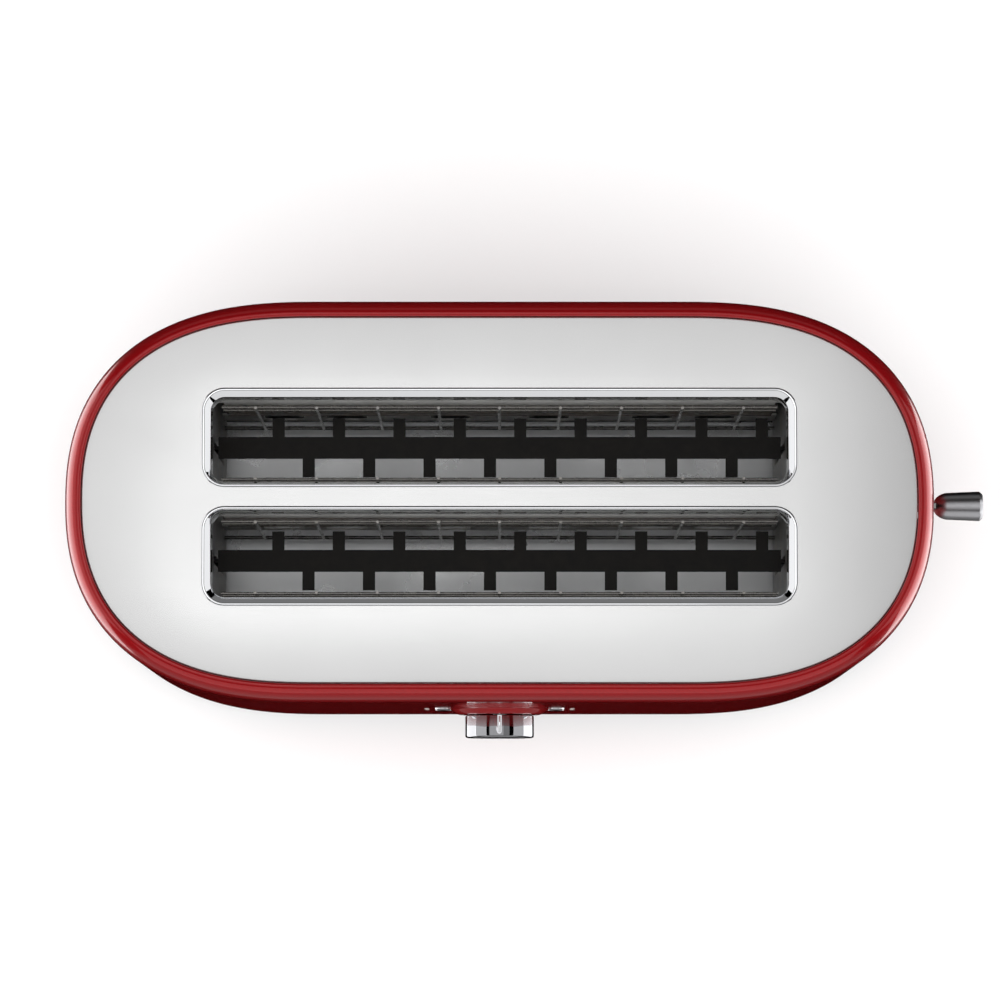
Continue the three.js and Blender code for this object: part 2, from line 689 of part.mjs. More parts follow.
// A folded strip with fingers bent out to each side in turn, on an upright web that runs through the end plates.
function makeRack() {
  const stripX = slotHalfX - 1.2;
  const edge = rackStrip / 2;
  const side = (sign, phase) => {
    const points = [];
    for (let x = -wirePitch * wireHalfCount + phase; x < stripX - fingerWidth; x += wirePitch) {
      const [a, b] = [x - fingerWidth / 2, x + fingerWidth / 2];
      points.push([a, sign * edge], [a, sign * fingerReach], [b, sign * fingerReach], [b, sign * edge]);
    }
    return points;
  };
  const outline = [
    [-stripX, -edge], ...side(-1, fingerPhase + wirePitch / 2), [stripX, -edge],
    [stripX, edge], ...side(1, fingerPhase).reverse(), [-stripX, edge],
  ].map(([x, y]) => new THREE.Vector2(x, y));
  const webX = bracketX + bracketSheet + 3;
  const web = block([-webX, webX], [-rackWeb / 2, rackWeb / 2], [-rackWebHeight, -rackSheet / 2]);
  return join(prism(outline, -rackSheet, 0), web);
}

// The cross bracket joins both racks and slides on the guide rod; the right one also carries the latch keeper.
function makeBracket(hasKeeper) {
  const halfY = slotY + 5;
  const x0 = bracketX;
  const x1 = bracketX + bracketSheet;
  const plate = block([x0, x1], [-halfY, halfY], [-sleeveDown + 2, leverRise + 5]);
  const sleeve = pin(sleeveRadius, -sleeveDown, sleeveUp, "z", 16).translate([rodX, rodOffsetY, 0]);
  const neck = block([x0, rodX], [rodOffsetY - 2, rodOffsetY + 2], [-sleeveDown + 2, leverRise + 4]);
  const bore = pin(rodRadius + runningGap, -sleeveDown - 1, sleeveUp + 1, "z", 16)
    .translate([rodX, rodOffsetY, 0]);
  const webSlots = sides.map((s) => block([x0 - 1, x1 + 1],
    [s * slotY - rackWeb / 2 - fit, s * slotY + rackWeb / 2 + fit],
    [-rackWebHeight - fit, -rackSheet / 2 + fit]));
  const shelf = block([x0, rodX + keeperSize / 2],
    [magnetOffsetY - keeperSize / 2, magnetOffsetY + keeperSize / 2],
    [-sleeveDown + 2, -sleeveDown + 2 + bracketSheet]);
  const made = cut(join(plate, neck, sleeve), bore, ...webSlots);
  return hasKeeper ? join(made, shelf) : made;
}

function makeKeeper() {
  const top = -sleeveDown + 2 - fit;
  return block([rodX - keeperSize / 2, rodX + keeperSize / 2],
    [magnetOffsetY - keeperSize / 2, magnetOffsetY + keeperSize / 2], [top - keeperSheet, top]);
}

// The arm runs from the bracket through the shell into the knob, level with the body's centre line.
function makeLeverArm() {
  const y = [-slotOffsetY - leverArmThickness / 2, -slotOffsetY + leverArmThickness / 2];
  const z = [leverRise - leverArmHeight / 2, leverRise + leverArmHeight / 2];
  const start = bracketX + bracketSheet + fit;
  const reach = bodyHalfX + leverKnobGap + leverSocketDepth - 1;
  const foot = block([start, start + bracketSheet], [y[0] - 6, y[1] + 6], [-8, leverRise + 4.5]);
  return join(block([start, reach], y, z), foot);
}

function makeLeverKnob() {
  const x0 = bodyHalfX + leverKnobGap;
  const x1 = x0 + leverKnobLength;
  const nose = [0, 18, 36, 54, 72, 90].map(THREE.MathUtils.degToRad)
    .map((t) => [leverKnobRadius * 0.94 * Math.sin(t), x0 + leverKnobNose * (1 - Math.cos(t))]);
  const body = turned([
    ...nose, [leverKnobRadius, x1 - 1.6], [leverKnobRadius - 0.5, x1 - 0.6],
    [leverKnobRadius - 1.6, x1 - 0.1], [0, x1],
  ], "x", 18).translate([0, -slotOffsetY, leverRise]);
  const halfY = leverArmThickness / 2 + fit;
  const halfZ = leverArmHeight / 2 + fit;
  const socket = block([x0 - 1, x0 + leverSocketDepth], [-slotOffsetY - halfY, -slotOffsetY + halfY],
    [leverRise - halfZ, leverRise + halfZ]);
  return cut(body, socket);
}

function makeGuideRod() {
  return pin(rodRadius, chassisBottomZ - 4, endPlateTopZ + 4, "z", 12);
}

// A coil that stands on the lower flange and carries the bracket's sleeve.
function makeLiftSpring() {
  const radius = rodRadius + 1.2 + springWire;
  const z0 = flangeTopZ + springWire + fit;
  const z1 = rackZ - sleeveDown - springWire - fit;
  const steps = springTurns * 7;
  const ring = [];
  for (let i = 0; i <= steps; i++) {
    const angle = (i / steps) * springTurns * 2 * Math.PI;
    const z = z0 + ((z1 - z0) * i) / steps;
    for (const [dr, dz] of [[springWire, 0], [0, springWire], [-springWire, 0], [0, -springWire]]) {
      ring.push((radius + dr) * Math.cos(angle), (radius + dr) * Math.sin(angle), z + dz);
    }
  }
  const index = [0, 1, 2, 0, 2, 3];
  for (let i = 0; i < steps; i++) {
    for (let k = 0; k < 4; k++) {
      const [a, b] = [i * 4 + k, i * 4 + ((k + 1) % 4)];
      index.push(a, a + 4, b + 4, a, b + 4, b);
    }
  }
  const end = steps * 4;
  index.push(end, end + 2, end + 1, end, end + 3, end + 2);
  const geometry = new THREE.BufferGeometry();
  geometry.setAttribute("position", new THREE.Float32BufferAttribute(ring, 3));
  geometry.setIndex(index);
  return solid(geometry);
}

// A bobbin on the lower flange; the keeper stops just above its core.
function makeElectromagnet() {
  const z0 = flangeTopZ + fit;
  const keeperLowZ = rackLowZ - sleeveDown + 2 - fit - keeperSheet;
  const top = Math.min(z0 + magnetHeight, keeperLowZ - latchGap);
  return turned([
    [0, z0], [magnetRadius, z0], [magnetRadius, z0 + 1.2], [magnetRadius - 1, z0 + 1.2],
    [magnetRadius - 1, top - 2.2], [magnetRadius, top - 2.2], [magnetRadius, top - 1],
    [3, top - 1], [3, top], [0, top],
  ], "z", 16).translate([rodX, magnetOffsetY, 0]);
}

function makePowerBoard() {
  const x0 = slotHalfX + sheetSteel + 8;
  const z0 = baseBottomZ + baseFloor + fit;
  const notch = block([x0 - 1, slotHalfX + chassisFlange + 1],
    [powerBoardY - 3, powerBoardY + 3], [chassisBottomZ - 1, chassisBottomZ + sheetSteel + 1]);
  const board = block([x0, x0 + powerBoardLength],
    [powerBoardY - circuitBoard / 2, powerBoardY + circuitBoard / 2], [z0, powerBoardTopZ]);
  return cut(board, notch);
}

function makeRelay() {
  const face = powerBoardY + circuitBoard / 2 + fit;
  const x0 = slotHalfX + sheetSteel + 13;
  return block([x0, x0 + 19], [face, face + 14], [70, 92]);
}

// ---- Assembly ----

function finish(color, roughness, metalness) {
  return new THREE.MeshStandardMaterial({ color, roughness, metalness });
}

const enamel = () => finish(0x8e1a1f, 0.18, 0.3);
const satinSteel = () => finish(0xc6c6c6, 0.32, 1);
const chrome = () => finish(0xdcdcdc, 0.06, 1);
const galvanised = () => finish(0x9a9b9a, 0.42, 1);
const darkSteel = () => finish(0x3a3a3a, 0.45, 1);
const blackPlastic = () => finish(0x1c1c1d, 0.5, 0);
const rubber = () => finish(0x151515, 0.85, 0);
const mica = () => finish(0x8d8a84, 0.5, 0);
const circuit = () => finish(0x1d5a38, 0.5, 0);
const copper = () => finish(0xa8572c, 0.4, 0.8);
const lens = () => finish(0xe8e4dc, 0.2, 0);

function place(group, name, body, material, position = [0, 0, 0], turn = 0) {
  const mesh = new THREE.Mesh(geometryOf(body), material);
  mesh.name = name;
  mesh.position.set(...position);
  mesh.rotation.z = turn;
  group.add(mesh);
  return mesh;
}

function group(parent, name, position = [0, 0, 0]) {
  const made = new THREE.Group();
  made.name = name;
  made.position.set(...position);
  parent.add(made);
  return made;
}

const leverReach = leverKnobGap + leverKnobLength;
const knobReach = bossHeight + knobGap + knobLength;
const toaster = new THREE.Group();
toaster.name = "toaster";
const body = group(toaster, "body", [-leverReach / 2, (knobReach - glandProud) / 2, 0]);

place(body, "body_shell", makeShell(), enamel());
place(body, "top_plate", makeTopPlate(), satinSteel());
const slotNames = [["front", -1], ["rear", 1]];
for (const [slot, side] of slotNames) {
  place(body, `slot_bezel_${slot}`, makeBezel(side), chrome(), [0, slotOffsetY + side * slotY, 0]);
}

place(body, "base_pan", makeBasePan(), blackPlastic());
const cornerName = ([x, y]) => `${y < 0 ? "front" : "rear"}_${x < 0 ? "left" : "right"}`;
for (const spot of footSpots) {
  place(body, `foot_${cornerName(spot)}`, makeFoot(), rubber(), [...spot, 0]);
}
for (const [x, y] of chassisScrewSpots) {
  const name = cornerName([x, y - slotOffsetY]);
  place(body, `chassis_screw_${name}`, makeChassisScrew(), galvanised(), [x, y, 0]);
}
place(body, "crumb_tray", makeCrumbTray(), galvanised());
place(body, "crumb_tray_handle", makeTrayHandle(), blackPlastic());
place(body, "cord_gland", makeGland(), blackPlastic());

const panel = group(body, "control_panel", [0, panelY, knobZ]);
place(panel, "control_knob", makeControlKnob(), chrome());
place(panel, "knob_pointer", makeKnobPointer(), chrome());
place(panel, "control_shaft", makeControlShaft(), galvanised());
place(panel, "potentiometer", makePotentiometer(), darkSteel());
place(panel, "control_board", makeControlBoard(), circuit());
for (const [sx, sz] of buttonSpots) {
  const name = `button_${sz > 0 ? "upper" : "lower"}_${sx < 0 ? "left" : "right"}`;
  place(panel, name, makeButton(), chrome(), [sx * buttonX, 0, sz * buttonZ]);
}
for (const [name, sx] of [["left", -1], ["right", 1]]) {
  place(panel, `indicator_${name}`, makeIndicator(), lens(), [sx * indicatorX, 0, 0]);
}

const chassis = group(body, "chassis", [0, slotOffsetY, 0]);
place(chassis, "end_plate_right", makeEndPlate(), galvanised(), [slotHalfX, 0, 0]);
place(chassis, "end_plate_left", makeEndPlate(), galvanised(), [-slotHalfX, 0, 0], Math.PI);
for (const [slot, side] of slotNames) {
  place(chassis, `reflector_${slot}`, makeReflector(), galvanised(), [0, side * reflectorY, 0]);
  for (const [where, out] of [["inner", -1], ["outer", 1]]) {
    const name = `${slot}_${where}`;
    const facing = -side * out; // towards the bread
    const boardY = side * (slotY + out * boardOffset);
    const guardY = side * (slotY + out * guardOffset);
    place(chassis, `heater_board_${name}`, makeHeaterBoard(), mica(), [0, boardY, 0]);
    place(chassis, `heater_winding_${name}`, makeWinding(facing), darkSteel(), [0, boardY, 0]);
    place(chassis, `bread_guard_${name}`, makeGuard(), darkSteel(), [0, guardY, guardPivotZ]);
  }
}
place(chassis, "electromagnet", makeElectromagnet(), copper());
place(chassis, "power_board", makePowerBoard(), circuit());
place(chassis, "relay", makeRelay(), blackPlastic());
for (const [end, sx] of [["left", -1], ["right", 1]]) {
  const spot = [sx * rodX, sx * rodOffsetY, 0];
  place(chassis, `guide_rod_${end}`, makeGuideRod(), chrome(), spot);
  place(chassis, `lift_spring_${end}`, makeLiftSpring(), galvanised(), spot);
}

const carriage = group(chassis, "carriage", [0, 0, rackZ]);
for (const [slot, side] of slotNames) {
  place(carriage, `bread_rack_${slot}`, makeRack(), darkSteel(), [0, side * slotY, 0]);
}
place(carriage, "carriage_bracket_right", makeBracket(true), galvanised());
place(carriage, "carriage_bracket_left", makeBracket(false), galvanised(), [0, 0, 0], Math.PI);
place(carriage, "latch_keeper", makeKeeper(), galvanised());
place(carriage, "lever_arm", makeLeverArm(), galvanised());
place(carriage, "lever_knob", makeLeverKnob(), chrome());

export default toaster;
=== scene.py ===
import bpy
import bmesh
import json
import math
from mathutils import Matrix, Vector


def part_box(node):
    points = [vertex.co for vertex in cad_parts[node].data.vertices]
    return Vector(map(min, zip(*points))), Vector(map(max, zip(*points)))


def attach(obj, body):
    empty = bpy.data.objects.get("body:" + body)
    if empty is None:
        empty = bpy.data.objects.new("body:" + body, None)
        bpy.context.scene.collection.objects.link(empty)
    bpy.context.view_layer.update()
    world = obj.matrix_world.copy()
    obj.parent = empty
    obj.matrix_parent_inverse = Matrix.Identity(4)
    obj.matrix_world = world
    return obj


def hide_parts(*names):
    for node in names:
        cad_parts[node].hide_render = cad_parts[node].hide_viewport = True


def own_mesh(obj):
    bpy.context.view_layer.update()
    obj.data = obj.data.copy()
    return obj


print("Loading the frame")
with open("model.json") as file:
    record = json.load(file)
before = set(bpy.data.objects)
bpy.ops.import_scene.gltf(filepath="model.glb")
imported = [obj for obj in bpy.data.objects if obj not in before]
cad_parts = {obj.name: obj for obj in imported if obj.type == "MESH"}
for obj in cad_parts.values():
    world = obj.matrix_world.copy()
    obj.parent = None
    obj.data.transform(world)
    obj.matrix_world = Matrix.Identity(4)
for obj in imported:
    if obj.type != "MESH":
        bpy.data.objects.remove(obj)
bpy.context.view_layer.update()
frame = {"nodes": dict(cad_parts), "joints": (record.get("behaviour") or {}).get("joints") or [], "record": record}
mm = 0.001
axes = {"x": Vector((1, 0, 0)), "y": Vector((0, 1, 0)), "z": Vector((0, 0, 1))}


def nodeBox(node):
    low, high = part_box(node)
    return Vector(low), Vector(high)


def nodeMiddle(node):
    low, high = nodeBox(node)
    return (low + high) / 2


def jointNamed(name):
    return next(joint for joint in frame["joints"] if joint["name"] == name)


plateLow, plateHigh = nodeBox("top_plate")
shellLow, shellHigh = nodeBox("body_shell")
bodyX = (plateLow.x + plateHigh.x) / 2
bodyY = (plateLow.y + plateHigh.y) / 2
halfLength = (shellHigh.x - shellLow.x) / 2
halfDepth = shellHigh.y - bodyY
frontY = bodyY - halfDepth
dialZ = nodeMiddle("control_knob").z


# Camera, floor and lights

cameraPlace = {
    "lens": 216,
    "sensor": 36,
    "height": 2.985,  # above the floor
    "inFront": 0.1953,  # of the middle of the body
    "tilt": 4.0,  # degrees from straight down
}


def makeCamera(v):
    data = bpy.data.cameras.new("camera")
    data.lens = v["lens"]
    data.sensor_width = v["sensor"]
    camera = bpy.data.objects.new("camera", data)
    camera.location = (bodyX + 0.2 * mm, bodyY - v["inFront"], v["height"])
    camera.rotation_euler = (math.radians(v["tilt"]), 0, 0)
    bpy.context.scene.collection.objects.link(camera)
    bpy.context.scene.camera = camera


# place, the point it faces, width and height in metres, radiance
softboxes = {
    "overhead": ((-0.85, 0.2, 3.6), (-0.85, 0.2, 0), 3.3, 3.2, 0.42),
    "overhead_glow": ((-0.25, 0.1, 3.5), (-0.25, 0.1, 0), 0.9, 0.45, 1.25),
    "ceiling": ((0, 0, 3.9), (0, 0, 0), 5.0, 4.0, 0.4),
    "left_low": ((-1.5, 0.0, -0.62), (0, 0, 0.1), 2.2, 1.75, 2.5),
    "left": ((-1.7, 0.0, 0.8), (0, 0, 0.1), 2.4, 1.5, 1.1),
    "right_low": ((1.5, -0.1, -0.66), (0, 0, 0.1), 1.6, 1.75, 2.9),
    "right": ((1.7, -0.1, 0.75), (0, 0, 0.1), 2.2, 1.4, 1.05),
    "front": ((0, -1.9, 0.75), (0, 0, 0.1), 3.4, 1.9, 0.85),
    "front_low": ((0, -1.7, -0.85), (0, 0, 0.1), 3.4, 2.0, 0.24),
    "rear": ((0, 2.2, 0.6), (0, 0, 0.15), 2.8, 1.3, 0.2),
}


def makeSoftbox(name, place, aim, width, height, radiance):
    light = bpy.data.lights.new(name, "AREA")
    light.shape = "RECTANGLE"
    light.size = width
    light.size_y = height
    light.energy = radiance * math.pi * width * height
    box = bpy.data.objects.new(name, light)
    box.location = place
    box.rotation_mode = "QUATERNION"
    box.rotation_quaternion = (Vector(aim) - Vector(place)).to_track_quat("-Z", "Y")
    box.visible_camera = False
    bpy.context.scene.collection.objects.link(box)


sky = {"shade": "#FFFFFF", "front": 1.35, "rear": 0.65}


def makeWorld(v):
    # soft white light on matt surfaces, stronger from the front; gloss shows the softboxes alone
    world = bpy.data.worlds.new("studio")
    world.use_nodes = True
    background = world.node_tree.nodes["Background"]
    background.inputs["Color"].default_value = linear(v["shade"])
    coords = addNode(world, "ShaderNodeTexCoord")
    split = addNode(world, "ShaderNodeSeparateXYZ", None, {"Vector": coords.outputs["Generated"]})
    link(world, between(world, split.outputs["Y"], v["front"], v["rear"], -1, 1), background, "Strength")
    bpy.context.scene.world = world
    world.cycles_visibility.glossy = False


ground = {"halfSize": 150}  # metres, so its edge is out of sight


def makeFloor(v):
    bm = bmesh.new()
    bmesh.ops.create_grid(bm, x_segments=1, y_segments=1, size=v["halfSize"])
    mesh = bpy.data.meshes.new("floor")
    bm.to_mesh(mesh)
    bm.free()
    mesh.materials.append(studioBoard)
    floor = bpy.data.objects.new("floor", mesh)
    bpy.context.scene.collection.objects.link(floor)
    floor.visible_glossy = False


# Materials

def linear(hexColour, alpha=1.0):
    parts = [int(hexColour[i:i + 2], 16) / 255 for i in (1, 3, 5)]
    return (*[p / 12.92 if p <= 0.04045 else ((p + 0.055) / 1.055) ** 2.4 for p in parts], alpha)


def newMaterial(name, values):
    material = bpy.data.materials.new(name)
    material.use_nodes = True
    shader = material.node_tree.nodes["Principled BSDF"]
    for socket, value in values.items():
        shader.inputs[socket].default_value = linear(value) if isinstance(value, str) else value
    return material, shader


def addNode(material, kind, values=None, links=None, **settings):
    made = material.node_tree.nodes.new(kind)
    for setting, value in settings.items():
        setattr(made, setting, value)
    for socket, value in (values or {}).items():
        made.inputs[socket].default_value = value
    for socket, source in (links or {}).items():
        material.node_tree.links.new(source, made.inputs[socket])
    return made


def objectPoint(material, stretch=(1, 1, 1), turn=(0, 0, 0)):
    coords = addNode(material, "ShaderNodeTexCoord")
    mapped = addNode(material, "ShaderNodeMapping", {"Scale": stretch, "Rotation": turn},
                     {"Vector": coords.outputs["Object"]})
    return mapped.outputs["Vector"]


def grain(material, size, stretch=(1, 1, 1), detail=2.0, rough=0.5):
    # noise whose blobs are about size metres across
    return addNode(material, "ShaderNodeTexNoise", {"Scale": 1 / size, "Detail": detail, "Roughness": rough},
                   {"Vector": objectPoint(material, stretch)}).outputs["Fac"]


def between(material, source, low, high, fromLow=0.3, fromHigh=0.7):
    return addNode(material, "ShaderNodeMapRange",
                   {"From Min": fromLow, "From Max": fromHigh, "To Min": low, "To Max": high},
                   {"Value": source}).outputs["Result"]


def blended(material, source, first, second):
    ramp = addNode(material, "ShaderNodeValToRGB", None, {"Fac": source})
    ramp.color_ramp.elements[0].color = linear(first)
    ramp.color_ramp.elements[0].position = 0.3
    ramp.color_ramp.elements[1].color = linear(second)
    ramp.color_ramp.elements[1].position = 0.7
    return ramp.outputs["Color"]


def bumped(material, shader, source, depth, strength=1.0):
    bump = addNode(material, "ShaderNodeBump", {"Distance": depth, "Strength": strength},
                   {"Height": source})
    material.node_tree.links.new(bump.outputs["Normal"], shader.inputs["Normal"])
    return bump


def link(material, source, shader, socket):
    material.node_tree.links.new(source, shader.inputs[socket])


def redEnamel():
    # Sprayed and baked candy-red enamel on pressed steel: a deep tinted coat under clear gloss
    made, shader = newMaterial("candy_red_enamel", {
        "Base Color": "#8E090F", "Metallic": 0.5, "Roughness": 0.36, "Coat Weight": 0.78,
        "Coat Roughness": 0.08, "Coat IOR": 1.5, "Specular IOR Level": 0.1})
    link(made, blended(made, grain(made, 0.9 * mm, detail=4), "#86070D", "#920A10"), shader, "Base Color")
    link(made, between(made, grain(made, 14 * mm), 0.32, 0.38), shader, "Roughness")
    bumped(made, shader, grain(made, 2.4 * mm), 0.004 * mm)  # orange peel
    return made


def satinStainless():
    # Stainless sheet with a fine satin finish rolled along its length: a soft sheen, drawn out slightly.
    # Its fine scratches scatter some light all ways, so it is not wholly metallic
    made, shader = newMaterial("satin_stainless_steel", {
        "Base Color": "#DADADA", "Metallic": 0.8, "Roughness": 0.26, "Anisotropic": 0.25})
    streaks = grain(made, 0.4 * mm, (0.02, 1, 1), detail=3)
    link(made, between(made, streaks, 0.25, 0.27), shader, "Roughness")
    link(made, blended(made, grain(made, 60 * mm), "#D8D8D8", "#DCDCDC"), shader, "Base Color")
    bumped(made, shader, streaks, 0.00015 * mm)
    return made


def polishedChrome():
    # Chrome plate on polished metal: a clear mirror, with faint wiping marks
    made, shader = newMaterial("polished_chrome_plate", {
        "Base Color": "#E6E7E9", "Metallic": 1.0, "Roughness": 0.04})
    link(made, between(made, grain(made, 7 * mm, detail=3), 0.025, 0.06), shader, "Roughness")
    return made


def satinChrome():
    # The lever's chrome over a finely blasted surface: a soft mirror that spreads each reflection
    made, shader = newMaterial("satin_chrome_plate", {
        "Base Color": "#B4B4B7", "Metallic": 1.0, "Roughness": 0.33})
    link(made, between(made, grain(made, 5 * mm, detail=3), 0.31, 0.35), shader, "Roughness")
    return made


def smokyChrome():
    # The dial's side: chrome over turned zinc, a slightly smoky mirror with crisp bands
    made, shader = newMaterial("smoky_chrome_plate", {
        "Base Color": "#A2A2A5", "Metallic": 1.0, "Roughness": 0.05})
    link(made, between(made, grain(made, 5 * mm, detail=3), 0.035, 0.065), shader, "Roughness")
    return made


def spunChrome():
    # The dial's face: turned on a lathe before plating, so fine rings catch the light
    made, shader = newMaterial("spun_chrome_plate", {
        "Base Color": "#DDDDDF", "Metallic": 1.0, "Roughness": 0.2})
    middle = nodeMiddle("control_knob")
    coords = addNode(made, "ShaderNodeTexCoord")
    centred = addNode(made, "ShaderNodeMapping", {"Location": (-middle.x, 0, -middle.z), "Scale": (1, 0, 1)},
                      {"Vector": coords.outputs["Object"]})
    length = addNode(made, "ShaderNodeVectorMath", None, {"Vector": centred.outputs["Vector"]},
                     operation="LENGTH")
    rings = addNode(made, "ShaderNodeTexNoise", {"Scale": 1 / (0.25 * mm), "Detail": 1.0},
                    {"W": length.outputs["Value"]}, noise_dimensions="1D").outputs["Fac"]
    link(made, between(made, rings, 0.14, 0.26), shader, "Roughness")
    bumped(made, shader, rings, 0.004 * mm)
    return made


def charcoalAbs():
    # Injection-moulded ABS from a spark-eroded mould: matt, with an even fine grain
    made, shader = newMaterial("charcoal_abs", {"Base Color": "#2B2B2D", "Roughness": 0.5, "IOR": 1.53})
    texture = grain(made, 0.6 * mm, detail=3)
    link(made, blended(made, grain(made, 20 * mm), "#29292B", "#2F2F31"), shader, "Base Color")
    link(made, between(made, texture, 0.42, 0.58), shader, "Roughness")
    bumped(made, shader, texture, 0.03 * mm)
    return made


def blackRubber():
    # Moulded silicone rubber: dull, with a little pale dust in its grain
    made, shader = newMaterial("black_silicone_rubber", {
        "Base Color": "#191919", "Roughness": 0.8, "IOR": 1.42})
    dust = grain(made, 3 * mm, detail=4)
    link(made, blended(made, dust, "#161616", "#222222"), shader, "Base Color")
    link(made, between(made, dust, 0.7, 0.88), shader, "Roughness")
    bumped(made, shader, grain(made, 0.5 * mm), 0.02 * mm)
    return made


def aluminisedSheet():
    # Hot-dip aluminised sheet steel: grey with a cloudy crystalline bloom, faintly straw from heat
    made, shader = newMaterial("aluminised_sheet_steel", {
        "Base Color": "#A9A9A8", "Metallic": 1.0, "Roughness": 0.38})
    spangle = addNode(made, "ShaderNodeTexVoronoi", {"Scale": 1 / (5 * mm)}, {"Vector": objectPoint(made)})
    cloud = grain(made, 30 * mm, detail=4)
    link(made, blended(made, cloud, "#A4A4A5", "#B3B0AA"), shader, "Base Color")
    link(made, between(made, spangle.outputs["Distance"], 0.3, 0.44, 0, 0.5), shader, "Roughness")
    bumped(made, shader, grain(made, 1.5 * mm), 0.01 * mm)
    return made


def scaledSteel():
    # Bare steel wire and strip that has been hot many times: dark grey scale, still slightly shiny
    made, shader = newMaterial("heat_scaled_steel", {
        "Base Color": "#868482", "Metallic": 1.0, "Roughness": 0.26})
    scale = grain(made, 6 * mm, detail=5)
    link(made, blended(made, scale, "#7A7876", "#94918C"), shader, "Base Color")
    link(made, between(made, scale, 0.2, 0.34), shader, "Roughness")
    bumped(made, shader, grain(made, 0.8 * mm), 0.01 * mm)
    return made


def darkShadedStrip():
    # Rack strip of dark steel coloured nearly black, part of which is painted shade for the shade deep in the
    # slot; a dull oily sheen
    made, shader = newMaterial("dark_steel_painted_shade", {
        "Base Color": "#171513", "Metallic": 0.5, "Roughness": 0.45, "Specular IOR Level": 0.2})
    darkMottle = grain(made, 8 * mm, detail=5)
    # the noise blends two near-blacks; their darkness is partly the steel's own and partly painted shade
    link(made, blended(made, darkMottle, "#100F0E", "#1F1D1B"), shader, "Base Color")
    link(made, between(made, darkMottle, 0.34, 0.5), shader, "Roughness")
    return made


def satinZinc():
    # Zinc plate on the tray: light and satiny from use, with a few duller wiped patches
    made, shader = newMaterial("satin_zinc_plate", {
        "Base Color": "#E2E3E4", "Metallic": 0.9, "Roughness": 0.28})
    wiped = grain(made, 35 * mm, detail=4)
    link(made, blended(made, wiped, "#DEDFE0", "#E7E8E9"), shader, "Base Color")
    link(made, between(made, wiped, 0.24, 0.33), shader, "Roughness")
    return made


def micaBoard():
    # Pressed phlogopite mica: silvery grey-brown flakes a few millimetres across, with a waxy sheen
    made, shader = newMaterial("pressed_mica", {"Base Color": "#E6E5E2", "Metallic": 0.0, "Roughness": 0.5})
    flakes = addNode(made, "ShaderNodeTexVoronoi", {"Scale": 1 / (3 * mm)}, {"Vector": objectPoint(made)})
    tone = addNode(made, "ShaderNodeSeparateColor", None, {"Color": flakes.outputs["Color"]}).outputs["Red"]
    link(made, blended(made, tone, "#E2E1DE", "#EAE9E7"), shader, "Base Color")
    link(made, between(made, tone, 0.4, 0.56, 0, 1), shader, "Roughness")
    bumped(made, shader, tone, 0.006 * mm)
    return made


def oxidisedRibbon():
    # Nickel-chromium ribbon after use: grey with brown and blue oxide bands
    made, shader = newMaterial("oxidised_nichrome", {
        "Base Color": "#6C6660", "Metallic": 1.0, "Roughness": 0.36})
    oxide = grain(made, 12 * mm, detail=3)
    link(made, blended(made, oxide, "#5C5A5C", "#7D7064"), shader, "Base Color")
    link(made, between(made, oxide, 0.28, 0.45), shader, "Roughness")
    return made


def solderMask():
    # Glass-epoxy circuit board under green solder mask: glossy, with tracks that show paler
    made, shader = newMaterial("green_solder_mask", {"Base Color": "#1B5435", "Roughness": 0.3, "IOR": 1.55})
    tracks = addNode(made, "ShaderNodeTexBrick",
                     {"Scale": 1 / (20 * mm), "Color1": linear("#1B5435"), "Color2": linear("#1D5A39"),
                      "Mortar": linear("#2F7A50"), "Mortar Size": 0.03},
                     {"Vector": objectPoint(made, turn=(math.radians(90), 0, 0))})
    link(made, tracks.outputs["Color"], shader, "Base Color")
    link(made, between(made, grain(made, 4 * mm), 0.25, 0.36), shader, "Roughness")
    return made


def enamelledCopper():
    # Enamelled copper wire wound on a bobbin: close turns under amber varnish
    made, shader = newMaterial("enamelled_copper_wire", {
        "Base Color": "#A6562B", "Metallic": 0.85, "Roughness": 0.3, "Coat Weight": 0.6})
    turns = addNode(made, "ShaderNodeTexWave", {"Scale": 1 / (1.6 * mm), "Distortion": 0.4},
                    {"Vector": objectPoint(made)}, bands_direction="Z")
    link(made, blended(made, turns.outputs["Fac"], "#8A421E", "#BC6A38"), shader, "Base Color")
    bumped(made, shader, turns.outputs["Fac"], 0.1 * mm)
    return made


def milkyAcrylic():
    # Opal acrylic light bar: white, slightly translucent, with a moulded gloss
    made, shader = newMaterial("opal_acrylic", {
        "Base Color": "#E8E6E0", "Roughness": 0.2, "IOR": 1.49, "Transmission Weight": 0.15})
    link(made, between(made, grain(made, 2 * mm), 0.16, 0.26), shader, "Roughness")
    return made


def printedInk():
    # Pad-printed epoxy ink: opaque white with a slight grain
    made, shader = newMaterial("white_pad_print", {"Base Color": "#DADAD6", "Roughness": 0.5})
    link(made, between(made, grain(made, 0.3 * mm), 0.42, 0.6), shader, "Roughness")
    return made


def palePaint():
    # Matt painted studio board
    made, shader = newMaterial("matt_pale_board", {"Base Color": "#F4F4F4", "Roughness": 0.9})
    link(made, blended(made, grain(made, 0.4), "#F2F2F2", "#F6F6F6"), shader, "Base Color")
    return made


print("Making the materials")
charcoal = charcoalAbs()
finishes = {
    "red_enamel": redEnamel(),
    "satin_steel": satinStainless(),
    "chrome_plate": polishedChrome(),
    "charcoal_plastic": charcoal,
    "foot_rubber": blackRubber(),
    "zinc_steel": aluminisedSheet(),
    "wire_steel": scaledSteel(),
    "mica_board": micaBoard(),
    "nichrome_ribbon": oxidisedRibbon(),
    "circuit_board": solderMask(),
    "dark_component": charcoal,
    "copper_winding": enamelledCopper(),
    "clear_lens": milkyAcrylic(),
}
spunFace = spunChrome()
dialChrome = smokyChrome()
leverChrome = satinChrome()
rackSteel = darkShadedStrip()
trayZinc = satinZinc()
whiteInk = printedInk()
studioBoard = palePaint()


# Mesh helpers

